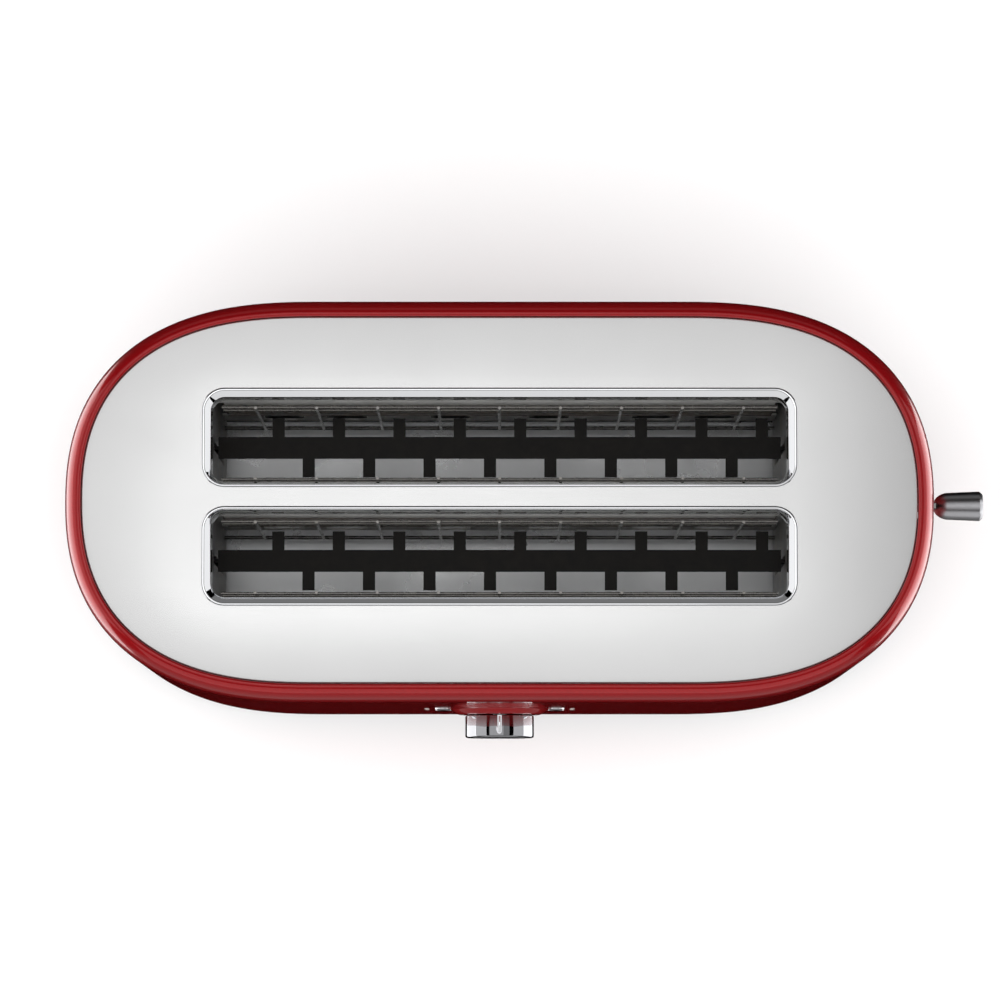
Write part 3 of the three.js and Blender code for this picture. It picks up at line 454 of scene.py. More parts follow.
def bodyOutline(inset, steps):
    # flat sides joined by superelliptic ends, moved in along its normals
    straight, endPower, sidePower = shell["straight"], shell["endPower"], shell["sidePower"]
    reach = halfLength - straight
    quarter = []
    for i in range(steps + 1):
        angle = math.pi / 2 * i / steps
        u = max(math.cos(angle), 0) ** (2 / endPower)
        v = math.sin(angle) ** (2 / sidePower)
        normal = Vector((endPower / reach * u ** (endPower - 1),
                         sidePower / halfDepth * v ** (sidePower - 1)))
        point = Vector((straight + reach * u, halfDepth * v)) - normal.normalized() * inset
        quarter.append(point)
    left = [Vector((-p.x, p.y)) for p in reversed(quarter)]
    upper = quarter + left
    lower = [Vector((p.x, -p.y)) for p in reversed(upper)][1:-1]
    return [p + Vector((bodyX, bodyY)) for p in upper + lower]


def roundedRect(x, nearY, farY, radius, middle, steps):
    corners = ((x, farY, 0), (-x, farY, 1), (-x, nearY, 2), (x, nearY, 3))
    points = []
    for cornerX, cornerY, turn in corners:
        centre = Vector((math.copysign(x - radius, cornerX), cornerY - math.copysign(radius, cornerY)))
        for i in range(steps + 1):
            angle = (turn + i / steps) * math.pi / 2
            points.append(centre + radius * Vector((math.cos(angle), math.sin(angle))) + middle)
    return points


def atHeight(outline, z):
    return [Vector((p.x, p.y, z)) for p in outline]


def edgesAlong(bm, ring):
    return [bm.edges.get(pair) or bm.edges.new(pair) for pair in zip(ring, ring[1:] + ring[:1])]


def skin(bm, outlines, closed=False):
    # extrudes a ring of edges through each outline in turn; closed runs on into the first
    rings = [[bm.verts.new(point) for point in outlines[0]]]
    for outline in outlines[1:] + (outlines[:1] if closed else []):
        grown = bmesh.ops.extrude_edge_only(bm, edges=edgesAlong(bm, rings[-1]))["geom"]
        fresh = {item.co.to_tuple(7): item for item in grown if isinstance(item, bmesh.types.BMVert)}
        ring = [fresh[vert.co.to_tuple(7)] for vert in rings[-1]]
        for vert, point in zip(ring, outline):
            vert.co = point
        rings.append(ring)
    if closed:
        bmesh.ops.remove_doubles(bm, verts=rings[0] + rings[-1], dist=1e-7)
    return rings


def addRod(bm, start, end, radius, count=12):
    line = Vector(end) - Vector(start)
    turn = line.to_track_quat("Z", "Y").to_matrix().to_4x4()
    place = Matrix.Translation((Vector(start) + Vector(end)) / 2) @ turn
    bmesh.ops.create_cone(bm, cap_ends=True, segments=count, radius1=radius, radius2=radius,
                          depth=line.length, matrix=place)


def addBlock(bm, low, high):
    size = Vector(high) - Vector(low)
    place = Matrix.Translation((Vector(low) + Vector(high)) / 2) @ Matrix.Diagonal((*size, 1))
    return bmesh.ops.create_cube(bm, size=1, matrix=place)["verts"]


def turned(profile, axis, centre, steps=64):
    # profile: (radius, place along the axis); ends on the axis or closes on itself
    bm = bmesh.new()
    along = axes[axis]
    out = axes["x"] if axis == "z" else axes["z"]
    verts = [bm.verts.new(Vector(centre) + along * h + out * r) for r, h in profile]
    pairs = list(zip(verts, verts[1:]))
    if profile[0][0] > 0:
        pairs.append((verts[-1], verts[0]))
    edges = [bm.edges.new(pair) for pair in pairs]
    bmesh.ops.spin(bm, geom=verts + edges, cent=centre, axis=along, dvec=(0, 0, 0),
                   angle=2 * math.pi, steps=steps, use_merge=True)
    bmesh.ops.remove_doubles(bm, verts=bm.verts, dist=1e-6)
    bmesh.ops.recalc_face_normals(bm, faces=bm.faces)
    return bm


def bevelSharp(bm, width, segments=2, angle=30):
    sharp = [e for e in bm.edges if e.is_manifold and e.calc_face_angle(0) > math.radians(angle)]
    bmesh.ops.bevel(bm, geom=sharp, offset=width, segments=segments, profile=0.5,
                    affect="EDGES", clamp_overlap=True, material=-1)


def cutAway(bm, cutter):
    # takes the cutter's volume out of the mesh
    meshes = []
    for source in (bm, cutter):
        mesh = bpy.data.meshes.new("trial")
        bmesh.ops.recalc_face_normals(source, faces=source.faces)
        source.to_mesh(mesh)
        source.free()
        meshes.append(bpy.data.objects.new("trial", mesh))
        bpy.context.scene.collection.objects.link(meshes[-1])
    cut = meshes[0].modifiers.new("cut", "BOOLEAN")
    cut.operation = "DIFFERENCE"
    cut.solver = "EXACT"
    cut.object = meshes[1]
    made = bmesh.new()
    evaluated = meshes[0].evaluated_get(bpy.context.evaluated_depsgraph_get())
    made.from_mesh(evaluated.data)
    for used in meshes:
        data = used.data
        bpy.data.objects.remove(used)
        bpy.data.meshes.remove(data)
    return made


def finishPiece(bm, name, slot, body, nodes=(), smoothAngle=35, material=None, recalc=True):
    if recalc:
        bmesh.ops.recalc_face_normals(bm, faces=bm.faces)
    for face in bm.faces:
        face.smooth = True
    mesh = bpy.data.meshes.new(name)
    bm.to_mesh(mesh)
    bm.free()
    mesh.set_sharp_from_angle(angle=math.radians(smoothAngle))
    mesh.materials.append(material or finishes[slot])
    piece = bpy.data.objects.new(name, mesh)
    bpy.context.scene.collection.objects.link(piece)
    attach(piece, body)
    if nodes:
        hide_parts(*nodes)
    return piece


# Body shell

shell = {
    "straight": 84.5 * mm,
    "endPower": 2.6,
    "sidePower": 2.32,
    "steps": 44,
    "shoulder": 16.5 * mm,
    "rimWidth": 8.2 * mm,
    "rimRoll": 1.2 * mm,
    "lip": 5 * mm,
    "wall": 2 * mm,
    "bottomRoll": 0.5 * mm,
}
panel = {
    "keyHole": 4.4 * mm,
    "shaftHole": 4 * mm,
    "lensHole": 1.6 * mm,
    "glandHole": 6.3 * mm,
    "slotHalfWidth": 2.4 * mm,
    "slotSlack": 5 * mm,  # past the lever's travel, at each end
    "slotRounding": 0.96,  # share of the half width
    "slotFromEnd": (12 * mm, 3 * mm),  # inwards and outwards of the body's end
    "cutDepth": 6 * mm,
}
keyNames = ["lower_left", "upper_left", "lower_right", "upper_right"]


def shellSection(v):
    top = shellHigh.z
    crest = v["rimWidth"] - v["rimRoll"]
    shoulderZ = top - v["shoulder"]
    low = shellLow.z
    section = [(v["bottomRoll"], low), (0, low + v["bottomRoll"])]
    section += [(0, low + (shoulderZ - low) * share) for share in (0.25, 0.5, 0.75, 0.93)]
    for i in range(13):
        angle = math.radians(7.5 * i)
        section.append((crest * (1 - math.cos(angle)), shoulderZ + v["shoulder"] * math.sin(angle)))
    for i in range(1, 6):
        angle = math.radians(18 * i)
        section.append((crest + v["rimRoll"] * math.sin(angle), top - v["rimRoll"] * (1 - math.cos(angle))))
    section += [(v["rimWidth"], top - v["lip"]), (v["rimWidth"] - v["wall"], top - v["lip"])]
    innerRun = v["rimWidth"] - 2 * v["wall"]
    for i in range(7):
        angle = math.radians(90 - 15 * i)
        section.append((v["wall"] + innerRun * (1 - math.cos(angle)),
                        shoulderZ + (v["shoulder"] - v["wall"]) * math.sin(angle)))
    section.append((v["wall"], low))
    return section


def makeShell(v, holes):
    bm = bmesh.new()
    skin(bm, [atHeight(bodyOutline(inset, v["steps"]), z) for inset, z in shellSection(v)], closed=True)
    cutter = bmesh.new()
    deep = holes["cutDepth"]
    addRod(cutter, (bodyX, frontY - deep, dialZ), (bodyX, frontY + deep, dialZ), holes["shaftHole"], 32)
    for name in keyNames:
        middle = nodeMiddle("button_" + name)
        addRod(cutter, (middle.x, frontY - deep, middle.z), (middle.x, frontY + deep, middle.z),
               holes["keyHole"], 40)
    for side in ("left", "right"):
        lens = nodeMiddle("indicator_" + side)
        for name in ("button_lower_" + side, "button_upper_" + side):
            z = nodeMiddle(name).z
            addRod(cutter, (lens.x, frontY - deep, z), (lens.x, frontY + deep, z), holes["lensHole"], 20)
    cord = nodeMiddle("cord_gland")
    backY = bodyY + halfDepth
    addRod(cutter, (cord.x, backY - deep, cord.z), (cord.x, backY + deep, cord.z), holes["glandHole"], 32)
    lift = jointNamed("carriage_lift")["range_m"]
    reachUp, reachDown = -lift[0], lift[1]
    leverZ = nodeMiddle("lever_knob").z
    inwards, outwards = holes["slotFromEnd"]
    slotVerts = addBlock(cutter,
                         (bodyX + halfLength - inwards, bodyY - holes["slotHalfWidth"],
                          leverZ - reachDown - holes["slotSlack"]),
                         (bodyX + halfLength + outwards, bodyY + holes["slotHalfWidth"],
                          leverZ + reachUp + holes["slotSlack"]))
    ends = [e for e in cutter.edges if all(vert in slotVerts for vert in e.verts)
            and abs((e.verts[0].co - e.verts[1].co).normalized().x) > 0.9]
    bmesh.ops.bevel(cutter, geom=ends, offset=holes["slotHalfWidth"] * holes["slotRounding"],
                    segments=6, profile=0.5, affect="EDGES", material=-1)
    made = cutAway(bm, cutter)
    finishPiece(made, "shell_skin", "red_enamel", "housing", ["body_shell"], 40, recalc=False)


# The raised boss round the dial runs out into the flat front in a wide fillet

boss = {
    "face": 18.8 * mm,  # radius where the flat face starts to fall away
    "foot": 25.2 * mm,
    "height": 2.8 * mm,
    "bore": 4 * mm,
    "sunk": 1.0 * mm,  # its back lies behind the shell's face
    "seat": 0.04 * mm,  # how far its foot dips under that face
    "steps": 14,
}


def makeBoss(v):
    profile = [(v["bore"], v["sunk"]), (v["bore"], -v["height"])]
    for i in range(v["steps"] + 1):
        share = i / v["steps"]
        fall = (1 - math.cos(math.pi * share)) / 2
        profile.append((v["face"] + (v["foot"] - v["face"]) * share,
                        -v["height"] + (v["height"] + v["seat"]) * fall))
    profile.append((v["foot"], v["sunk"]))
    bm = turned(profile, "y", (bodyX, frontY, dialZ), 96)
    finishPiece(bm, "dial_boss", "red_enamel", "housing", (), 40)


ticks = {"count": 7, "span": 240, "ring": 17.9 * mm, "radius": 0.45 * mm, "proud": 0.04 * mm}


def makeTicks(v):
    # printed browning scale: evenly spaced dots round the dial
    bm = bmesh.new()
    face = frontY - boss["height"]
    for i in range(v["count"]):
        angle = math.radians(v["span"] * (i / (v["count"] - 1) - 0.5))
        x, z = bodyX + v["ring"] * math.sin(angle), dialZ + v["ring"] * math.cos(angle)
        addRod(bm, (x, face + 0.1 * mm, z), (x, face - v["proud"], z), v["radius"], 16)
    finishPiece(bm, "browning_dots", "red_enamel", "housing", (), 30, whiteInk)


# Top plate and slot bezels

plate = {
    "edgeInset": 8.5 * mm,
    "edgeRadius": 0.6 * mm,
    "skirt": 5 * mm,
    "thickness": 1.2 * mm,
    "openingInset": 1.2 * mm,  # the bezel laps over the plate's opening by this
    "openingCorner": 8.5 * mm,
    "steps": 44,
}
bezel = {
    "length": 134.8 * mm,  # half of the opening
    "width": 19.85 * mm,
    "wide": 4.3 * mm,
    "narrow": 2.7 * mm,
    "corner": 6.5 * mm,
    "rise": 0.32 * mm,  # above the plate
    "drop": 2.4 * mm,
    "edge": 0.3 * mm,
    "lipWall": 1.2 * mm,
    "seatGap": 0.02 * mm,  # keeps it off the plate
    "toe": 0.15 * mm,
    "crest": (0.7 * mm, 1.4 * mm),  # the top's outer and inner edge, in from the outline
    "underside": (1.6 * mm, 8.1 * mm),  # inset and corner radius where it rests
    "cornerSteps": 12,
}
sides = {"front": -1, "rear": 1}


def slotMiddle(name):
    low, high = nodeBox("slot_bezel_" + name)
    centre = (low + high) / 2
    centre.y -= sides[name] * (bezel["wide"] - bezel["narrow"]) / 2
    return Vector((centre.x, centre.y))


def bezelOutline(name, inset, radius):
    v = bezel
    x = v["length"] + v["wide"] - inset
    far = v["width"] + v["wide"] - inset
    near = v["width"] + v["narrow"] - inset
    if sides[name] < 0:
        return roundedRect(x, -far, near, radius, slotMiddle(name), v["cornerSteps"])
    return roundedRect(x, -near, far, radius, slotMiddle(name), v["cornerSteps"])


def slotOutline(name, grow):
    v = bezel
    return roundedRect(v["length"] + grow, -v["width"] - grow, v["width"] + grow, v["corner"] + grow,
                       slotMiddle(name), v["cornerSteps"])


def makeTopPlate(v):
    bm = bmesh.new()
    top = plateHigh.z
    section = []
    for i in range(5):
        angle = math.radians(22.5 * i)
        section.append((v["edgeInset"] + v["edgeRadius"] * (1 - math.sin(angle)),
                        top - v["edgeRadius"] * (1 - math.cos(angle))))
    section.append((v["edgeInset"], top - v["skirt"]))
    section.append((v["edgeInset"] + v["thickness"], top - v["skirt"]))
    section.append((v["edgeInset"] + v["thickness"], top - v["thickness"]))
    outside = skin(bm, [atHeight(bodyOutline(inset, v["steps"]), z) for inset, z in section])
    openings = []
    for name in sides:
        outline = bezelOutline(name, v["openingInset"], v["openingCorner"])
        openings.append(skin(bm, [atHeight(outline, top), atHeight(outline, top - v["thickness"])]))
    for face in (0, -1):
        edges = [e for rings in (outside, *openings) for e in edgesAlong(bm, rings[face])]
        bmesh.ops.triangle_fill(bm, use_beauty=True, use_dissolve=False, edges=edges)
    finishPiece(bm, "satin_top_plate", "satin_steel", "housing", ["top_plate"], 30)


def makeBezel(name, v):
    footZ = nodeBox("slot_bezel_" + name)[0].z
    seat = plateHigh.z + v["seatGap"]
    edgeZ = seat + v["rise"] - v["drop"]
    bm = bmesh.new()
    outer = v["corner"] + v["wide"]
    toe = v["toe"]
    crestOut, crestIn = v["crest"]
    rings = skin(bm, [
        atHeight(bezelOutline(name, 0, outer), seat),
        atHeight(bezelOutline(name, toe, outer - toe), seat + toe),
        atHeight(bezelOutline(name, crestOut, outer - crestOut), seat + v["rise"]),
        atHeight(bezelOutline(name, crestIn, outer - crestIn), seat + v["rise"] - 0.05 * mm),
        atHeight(slotOutline(name, 0), edgeZ),
        atHeight(slotOutline(name, 0), footZ),
        atHeight(slotOutline(name, v["lipWall"]), footZ),
        atHeight(slotOutline(name, v["lipWall"]), edgeZ - 0.8 * mm),
        atHeight(bezelOutline(name, *v["underside"]), seat),
    ], closed=True)
    rounded = [e for ring in rings[1:5] for e in edgesAlong(bm, ring)]
    bmesh.ops.bevel(bm, geom=rounded, offset=v["edge"] * 0.5, segments=2, profile=0.5,
                    affect="EDGES", clamp_overlap=True, material=-1)
    finishPiece(bm, "bezel_" + name, "chrome_plate", "housing", ["slot_bezel_" + name], 28)


# Base, feet, tray handle and gland

cornerNames = ["front_left", "front_right", "rear_left", "rear_right"]
base = {
    "wallInset": 0.8 * mm,
    "floorInset": 2.3 * mm,
    "chamfer": 1.5 * mm,
    "rebate": 2.4 * mm,
    "floor": 3 * mm,
    "wallRise": 8 * mm,  # the part of the wall inside the shell
    "seam": 0.3 * mm,  # gap under the shell's edge
    "mouthRoom": (2 * mm, 0.5 * mm, 14 * mm),  # round the tray's handle: outwards, sideways, inwards
    "screwWell": (3.4 * mm, 2.4 * mm),  # radius and depth
    "steps": 40,
    "ventRows": 78 * mm,
    "ventPitch": 34 * mm,
    "ventHalf": (11 * mm, 2 * mm),
}


def makeBasePan(v):
    bottom = nodeBox("base_pan")[0].z
    seam = v["seam"]
    ledge = shellLow.z - seam
    handleLow, handleHigh = nodeBox("crumb_tray_handle")
    wallTop = ledge + v["wallRise"]
    section = [
        (v["floorInset"], bottom), (v["wallInset"] + 0.4 * mm, bottom + 0.45 * mm),
        (v["wallInset"], bottom + v["chamfer"]), (v["wallInset"], ledge - seam),
        (v["wallInset"] + seam, ledge), (v["floorInset"], ledge),
        (v["floorInset"], wallTop), (v["floorInset"] + v["rebate"], wallTop),
        (v["floorInset"] + v["rebate"], bottom + v["floor"]),
    ]
    bm = bmesh.new()
    rings = skin(bm, [atHeight(bodyOutline(inset, v["steps"]), z) for inset, z in section])
    for ring in (rings[0], rings[-1]):
        bmesh.ops.contextual_create(bm, geom=edgesAlong(bm, ring))
    cutter = bmesh.new()
    outwards, sideways, inwards = v["mouthRoom"]
    addBlock(cutter, (handleLow.x - outwards, handleLow.y - sideways, bottom + v["floor"]),
             (handleHigh.x + inwards, handleHigh.y + sideways, ledge + 0.01 * mm))
    for side in (-1, 1):
        for i in range(-2, 3):
            x, y = bodyX + i * v["ventPitch"], bodyY + side * v["ventRows"]
            halfX, halfY = v["ventHalf"]
            addBlock(cutter, (x - halfX, y - halfY, bottom - mm),
                     (x + halfX, y + halfY, bottom + v["floor"] + mm))
    for corner in cornerNames:
        well = nodeMiddle("chassis_screw_" + corner)
        radius, depth = v["screwWell"]
        addRod(cutter, (well.x, well.y, bottom - mm), (well.x, well.y, bottom + depth), radius, 32)
    made = cutAway(bm, cutter)
    finishPiece(made, "base_moulding", "charcoal_plastic", "housing", ["base_pan"], 30, recalc=False)


foot = {"radius": 11 * mm, "top": 4.95 * mm, "dish": 0.8 * mm, "groove": 7 * mm, "edge": 0.25 * mm}


def makeFoot(corner, v):
    middle = nodeMiddle("foot_" + corner)
    r = v["radius"]
    profile = [
        (0, v["dish"]), (v["groove"] - 1.2 * mm, v["dish"]), (v["groove"], 0),
        (r - 1.4 * mm, 0), (r - 0.4 * mm, 0.5 * mm), (r, 1.6 * mm),
        (r, v["top"] - 0.6 * mm), (r - 0.6 * mm, v["top"]), (0, v["top"]),
    ]
    bm = turned(profile, "z", (middle.x, middle.y, 0), 48)
    bevelSharp(bm, v["edge"])
    finishPiece(bm, "rubber_foot_" + corner, "foot_rubber", "housing", ["foot_" + corner])


screw = {
    "head": 2.9 * mm,
    "thick": 1.8 * mm,
    "shank": 1.6 * mm,
    "point": (0.8 * mm, 1.2 * mm),  # its radius and length
    "cross": (0.45 * mm, 1.7 * mm, 1.0 * mm),  # half width, half length and depth
}


def makeScrew(corner, v):
    node = "chassis_screw_" + corner
    low, high = nodeBox(node)
    middle = nodeMiddle(node)
    z0 = low.z
    pointRadius, pointLength = v["point"]
    profile = [
        (0, 0), (v["head"] - 0.7 * mm, 0), (v["head"], 0.6 * mm), (v["head"], v["thick"]),
        (v["shank"], v["thick"]), (v["shank"], high.z - z0 - pointLength),
        (pointRadius, high.z - z0), (0, high.z - z0),
    ]
    made = turned(profile, "z", (middle.x, middle.y, z0), 32)
    thin, long, deep = v["cross"]
    for a, b in ((thin, long), (long, thin)):
        cutter = bmesh.new()
        addBlock(cutter, (middle.x - a, middle.y - b, z0 - mm), (middle.x + a, middle.y + b, z0 + deep))
        made = cutAway(made, cutter)
    finishPiece(made, "screw_" + corner, "zinc_steel", "housing", [node], 30, recalc=False)


trayGrip = {
    "inset": 0.8 * mm,
    "gripHalf": 24 * mm,
    "gripDepth": 4.5 * mm,
    "wall": 1.5 * mm,
    "edge": 0.3 * mm,
    "steps": 60,
}


def makeTrayHandle(v):
    low, high = nodeBox("crumb_tray_handle")
    bm = bmesh.new()
    for ring in skin(bm, [atHeight(bodyOutline(v["inset"], v["steps"]), z) for z in (low.z, high.z)]):
        bmesh.ops.contextual_create(bm, geom=edgesAlong(bm, ring))
    sidesCut = (((high.x, 0, 0), (1, 0, 0)), ((0, low.y, 0), (0, -1, 0)), ((0, high.y, 0), (0, 1, 0)))
    for point, normal in sidesCut:
        geom = bm.verts[:] + bm.edges[:] + bm.faces[:]
        found = bmesh.ops.bisect_plane(bm, geom=geom, plane_co=point, plane_no=normal, clear_outer=True)
        rim = [e for e in found["geom_cut"] if isinstance(e, bmesh.types.BMEdge)]
        bmesh.ops.contextual_create(bm, geom=rim)
    cutter = bmesh.new()
    middle = (low.y + high.y) / 2
    addBlock(cutter, (low.x - 2 * mm, middle - v["gripHalf"], low.z + v["wall"]),
             (low.x + v["gripDepth"], middle + v["gripHalf"], high.z - v["wall"]))
    made = cutAway(bm, cutter)
    bevelSharp(made, v["edge"], 2, 50)
    finishPiece(made, "tray_pull", "charcoal_plastic", "crumb_drawer", ["crumb_tray_handle"], 30)


gland = {
    "bore": 4.2 * mm,
    "barrel": 6 * mm,
    "flange": 8.5 * mm,
    "proud": 1.95 * mm,
    "inside": 8 * mm,  # length of the barrel behind the shell's face
    "edge": 0.2 * mm,
}


def makeGland(v):
    middle = nodeMiddle("cord_gland")
    backY = bodyY + halfDepth
    profile = [
        (v["bore"], -v["inside"]), (v["barrel"], -v["inside"]), (v["barrel"], 0.05 * mm),
        (v["flange"], 0.05 * mm),
        (v["flange"], 0.8 * mm), (v["flange"] - 1.2 * mm, v["proud"]), (v["bore"] + 0.6 * mm, v["proud"]),
        (v["bore"], v["proud"] - 0.6 * mm),
    ]
    bm = turned(profile, "y", (middle.x, backY, middle.z), 64)
    bevelSharp(bm, v["edge"])
    finishPiece(bm, "gland_collar", "charcoal_plastic", "housing", ["cord_gland"], 30)


# Controls

dial = {
    "radius": 16.5 * mm,
    "chamfer": 0.9 * mm,
    "dish": 1.1 * mm,  # depth of the hollow in the face
    "rim": 2.2 * mm,
    "step": 0.3 * mm,  # width of the small slope inside the rim
    "grooveHalf": 1.0 * mm,
    "grooveDepth": 0.7 * mm,
    "grooveFront": 1.7 * mm,  # from the dial's face
    "barHalf": 0.45 * mm,
    "barFront": 2.4 * mm,
    "barBack": 0.6 * mm,
    "markHalf": 0.5 * mm,
    "markReach": (6.5 * mm, 13 * mm),  # from the middle of the dial
    "markDepth": (0.3 * mm, 1.2 * mm),  # behind the dial's face
}


def makeDial(v):
    low, high = nodeBox("control_knob")
    middle = nodeMiddle("control_knob")
    back, front = high.y - middle.y, low.y - middle.y
    r, rim = v["radius"], v["rim"]
    profile = [(0, back), (r - 0.5 * mm, back), (r - 0.15 * mm, back - 0.12 * mm), (r, back - 0.5 * mm),
               (r, front + v["chamfer"])]
    for i in range(1, 5):
        angle = math.radians(22.5 * i)
        profile.append((r - v["chamfer"] * (1 - math.cos(angle)),
                        front + v["chamfer"] * (1 - math.sin(angle))))
    faceR = r - rim - v["step"]
    profile += [(r - rim, front), (faceR, front + 0.25 * mm)]
    for i in range(1, 9):
        share = 1 - i / 8
        profile.append((faceR * share, front + 0.25 * mm + (v["dish"] - 0.25 * mm) * (1 - share ** 2)))
    bm = turned(profile, "y", middle, 128)
    cutter = bmesh.new()
    addBlock(cutter, (middle.x - v["grooveHalf"], front + middle.y + v["grooveFront"],
                      middle.z + r - v["grooveDepth"]),
             (middle.x + v["grooveHalf"], back + middle.y + 1.6 * mm, middle.z + r + mm))
    corners = [e for e in cutter.edges if abs((e.verts[0].co - e.verts[1].co).normalized().z) > 0.9]
    bmesh.ops.bevel(cutter, geom=corners, offset=v["grooveHalf"] * 0.95, segments=5, profile=0.5,
                    affect="EDGES", material=-1)
    made = cutAway(bm, cutter)
    piece = finishPiece(made, "dial_knob", "chrome_plate", "dial", ["control_knob"], 28, dialChrome,
                        recalc=False)
    piece.data.materials.append(spunFace)
    limit = front + middle.y + v["dish"] + 0.05 * mm
    for face in piece.data.polygons:
        radial = math.hypot(face.center.x - middle.x, face.center.z - middle.z)
        if radial < r - rim - 0.1 * mm and face.center.y < limit and face.normal.y < -0.7:
            face.material_index = 1


def makeDialPointer(v):
    low, high = nodeBox("control_knob")
    middle = nodeMiddle("control_knob")
    top = middle.z + v["radius"]
    bm = bmesh.new()
    addBlock(bm, (middle.x - v["barHalf"], low.y + v["barFront"], top - v["grooveDepth"] - 0.2 * mm),
             (middle.x + v["barHalf"], high.y - v["barBack"], top + 0.05 * mm))
    bevelSharp(bm, 0.3 * mm, 4)
    # its face mark lies in the hollow of the dial, from near the rim towards the middle
    (near, far), (shallow, deep) = v["markReach"], v["markDepth"]
    addBlock(bm, (middle.x - v["markHalf"], low.y + shallow, middle.z + near),
             (middle.x + v["markHalf"], low.y + deep, middle.z + far))
    finishPiece(bm, "dial_pointer", "chrome_plate", "dial", ["knob_pointer"], 30)


key = {
    "radius": 4.0 * mm,
    "crown": 0.35 * mm,
    "edge": 0.5 * mm,
    "flangeAt": 2.3 * mm,  # behind the shell's face
    "flange": (1.4 * mm, 1.3 * mm),  # how far it stands out, and its thickness
    "stem": 2 * mm,
}


def makeKey(name, v):
    node = "button_" + name
    low, high = nodeBox(node)
    middle = nodeMiddle(node)
    r, edge, crown = v["radius"], v["edge"], v["crown"]
    profile = [(0, 0)]
    for i in range(1, 7):
        share = i / 6
        profile.append(((r - edge) * share, crown * share ** 2))
    for i in range(1, 5):
        angle = math.radians(22.5 * i)
        profile.append((r - edge + edge * math.sin(angle), crown + edge * (1 - math.cos(angle))))
    flange = frontY + v["flangeAt"] - low.y
    wide, thick = v["flange"]
    back = high.y - low.y
    profile += [(r, flange), (r + wide, flange), (r + wide, flange + thick), (v["stem"], flange + thick),
                (v["stem"], back), (0, back)]
    bm = turned(profile, "y", (middle.x, low.y, middle.z), 48)
    finishPiece(bm, "key_" + name, "chrome_plate", "key_" + name, [node], 30)


def makeLightBar(side):
    node = "indicator_" + side
    low, high = nodeBox(node)
    middle = nodeMiddle(node)
    bm = bmesh.new()
    for name in ("button_lower_" + side, "button_upper_" + side):
        z = nodeMiddle(name).z
        dome = turned([(0, 0), (0.7 * mm, 0.02 * mm), (1.1 * mm, 0.07 * mm), (1.3 * mm, 0.2 * mm),
                       (1.3 * mm, 6.5 * mm), (0, 6.5 * mm)], "y", (middle.x, low.y, z), 24)
        lens = bpy.data.meshes.new("lens")
        dome.to_mesh(lens)
        dome.free()
        bm.from_mesh(lens)
        bpy.data.meshes.remove(lens)
    addBlock(bm, (low.x + 0.2 * mm, high.y - 2 * mm, low.z), (high.x - 0.2 * mm, high.y, high.z))
    finishPiece(bm, "light_bar_" + side, "clear_lens", "housing", [node], 30)


lever = {
    "noseRadius": 6.4 * mm,
    "endRadius": 7.0 * mm,
    "nose": 7.5 * mm,
    "chamfer": 1.7 * mm,
    "crown": 0.08 * mm,  # how far the end swells out
}


def makeLeverKnob(v):
    low, high = nodeBox("lever_knob")
    middle = nodeMiddle("lever_knob")
    length = high.x - low.x
    profile = []
    for i in range(11):
        angle = math.radians(9 * i)
        profile.append((v["noseRadius"] * math.sin(angle) ** 0.9 if i else 0,
                        v["nose"] * (1 - math.cos(angle))))
    r, chamfer, crown = v["endRadius"], v["chamfer"], v["crown"]
    profile += [(r, length - chamfer), (r - 0.35 * mm, length - chamfer + 0.5 * mm),
                (r - 1.2 * mm, length - 0.25 * mm), (r - chamfer, length - crown)]
    for i in range(1, 5):
        share = 1 - i / 4
        profile.append(((r - chamfer) * share, length - crown * share ** 2))
    bm = turned(profile, "x", (low.x, middle.y, middle.z), 96)
    finishPiece(bm, "lift_knob", "chrome_plate", "carriage", ["lever_knob"], 24, leverChrome)


# Lift springs: each stands on the chassis and reaches up to the carriage

spring = {"wire": 0.74 * mm, "turns": 9, "stepsPerTurn": 20}


def makeSpring(side, v):
    node = "lift_spring_" + side
    low, high = nodeBox(node)
    middle = nodeMiddle(node)
    wire = v["wire"]
    coil = (high.y - low.y) / 2 - wire
    start, end = low.z + wire, high.z - wire
    bm = bmesh.new()
    place = Matrix.Translation((middle.x + coil, middle.y, start)) @ Matrix.Rotation(math.pi / 2, 4, "X")
    verts = bmesh.ops.create_circle(bm, segments=10, radius=wire, matrix=place)["verts"]
    steps = v["turns"] * v["stepsPerTurn"]
    bmesh.ops.spin(bm, geom=verts + bm.edges[:], cent=(middle.x, middle.y, 0), axis=axes["z"],
                   dvec=(0, 0, (end - start) / steps), angle=2 * math.pi * v["turns"], steps=steps)
    bmesh.ops.holes_fill(bm, edges=[e for e in bm.edges if e.is_boundary])
    piece = finishPiece(bm, "spring_" + side, "zinc_steel", "housing", [node], 40)
    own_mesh(piece)


# Wire bread guards: uprights on the bread side of the level wires

guard = {
    "wire": 0.9 * mm,
    "pitch": 28.7 * mm,
    "count": 4,  # uprights on each side of the middle one
    "secondDrop": 18 * mm,
    "endGap": 4 * mm,  # from the slot's end to the level wires' ends
    "thinner": 0.8,  # the other wires against the pivot wire
    "lean": 0.45,  # the uprights' shift, as a share of the wire's radius
}


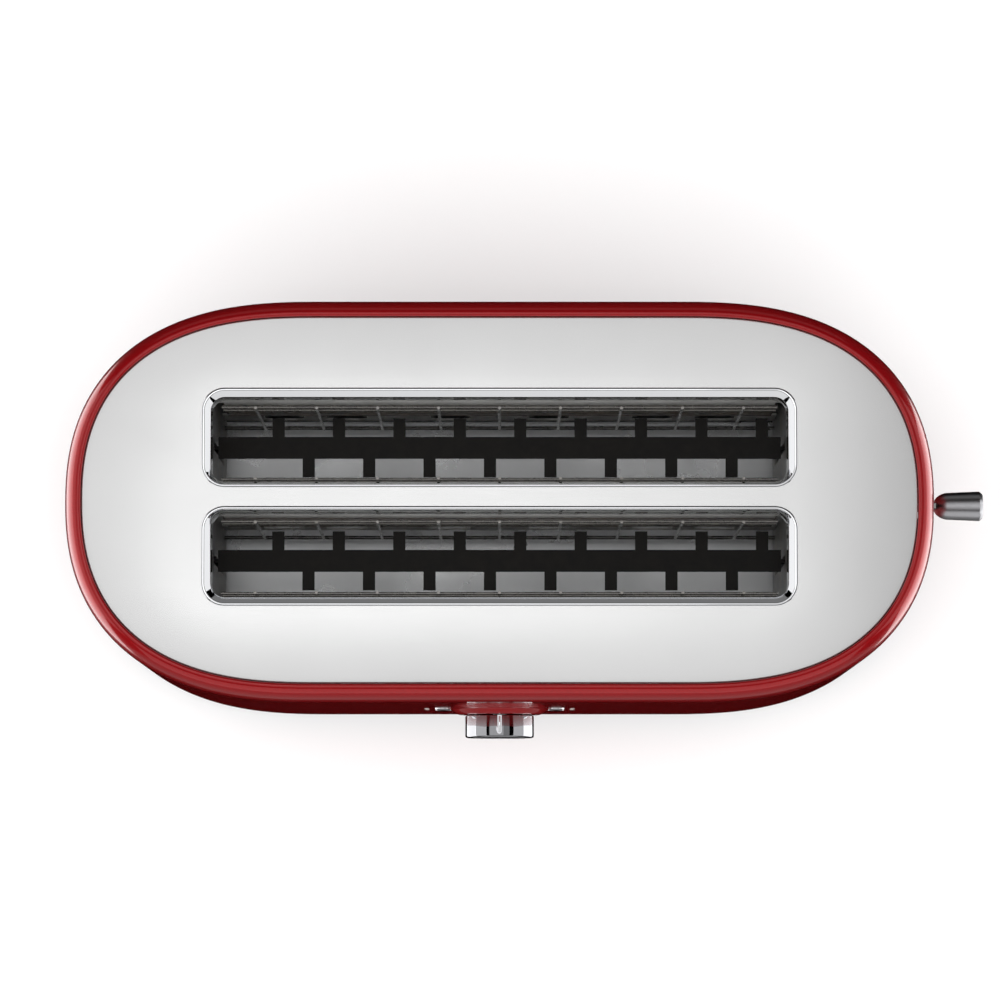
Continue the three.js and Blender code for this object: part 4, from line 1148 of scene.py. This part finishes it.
def makeGuard(name, inward, v):
    node = "bread_guard_" + name
    low, high = nodeBox(node)
    middle = nodeMiddle(node)
    r = v["wire"]
    pivotZ, topZ = low.z + r, high.z - r
    railX = (high.x - low.x) / 2 - r
    topX = bezel["length"] - v["endGap"]
    y = middle.y
    bm = bmesh.new()
    addRod(bm, (middle.x - railX - r, y, pivotZ), (middle.x + railX + r, y, pivotZ), r)
    for z in (topZ, topZ - v["secondDrop"]):
        addRod(bm, (middle.x - topX, y, z), (middle.x + topX, y, z), r * v["thinner"])
    for i in range(-v["count"], v["count"] + 1):
        x = middle.x + i * v["pitch"]
        lean = inward * v["lean"] * r
        addRod(bm, (x, y + lean, pivotZ - r), (x, y + lean, topZ + r), r * v["thinner"])
    finishPiece(bm, "guard_" + name + "_wires", "wire_steel", "guard_" + name, [node], 40, recalc=False)


def dressNodes():
    slots = {part["node"]: part["material_slot"] for part in frame["record"]["subparts"]}
    ownFinish = {"bread_rack_front": rackSteel, "bread_rack_rear": rackSteel, "crumb_tray": trayZinc}
    for name, item in frame["nodes"].items():
        item.data.materials.clear()
        item.data.materials.append(ownFinish.get(name) or finishes[slots[name]])


print("Placing the camera and lights")
makeCamera(cameraPlace)
for boxName, values in softboxes.items():
    makeSoftbox(boxName, *values)
makeWorld(sky)
bpy.context.scene.view_settings.view_transform = "Standard"

print("Making the floor")
makeFloor(ground)

print("Dressing the frame's own pieces")
dressNodes()

print("Making the body")
makeShell(shell, panel)
makeBoss(boss)
makeTicks(ticks)
makeTopPlate(plate)
for slotName in sides:
    makeBezel(slotName, bezel)

print("Making the base")
makeBasePan(base)
for cornerName in cornerNames:
    makeFoot(cornerName, foot)
    makeScrew(cornerName, screw)
makeTrayHandle(trayGrip)
makeGland(gland)

print("Making the controls")
makeDial(dial)
makeDialPointer(dial)
for keyName in keyNames:
    makeKey(keyName, key)
for sideName in ("left", "right"):
    makeLightBar(sideName)
makeLeverKnob(lever)

print("Making the springs and bread guards")
for sideName in ("left", "right"):
    makeSpring(sideName, spring)
for slotName, side in sides.items():
    makeGuard(slotName + "_inner", side, guard)
    makeGuard(slotName + "_outer", -side, guard)
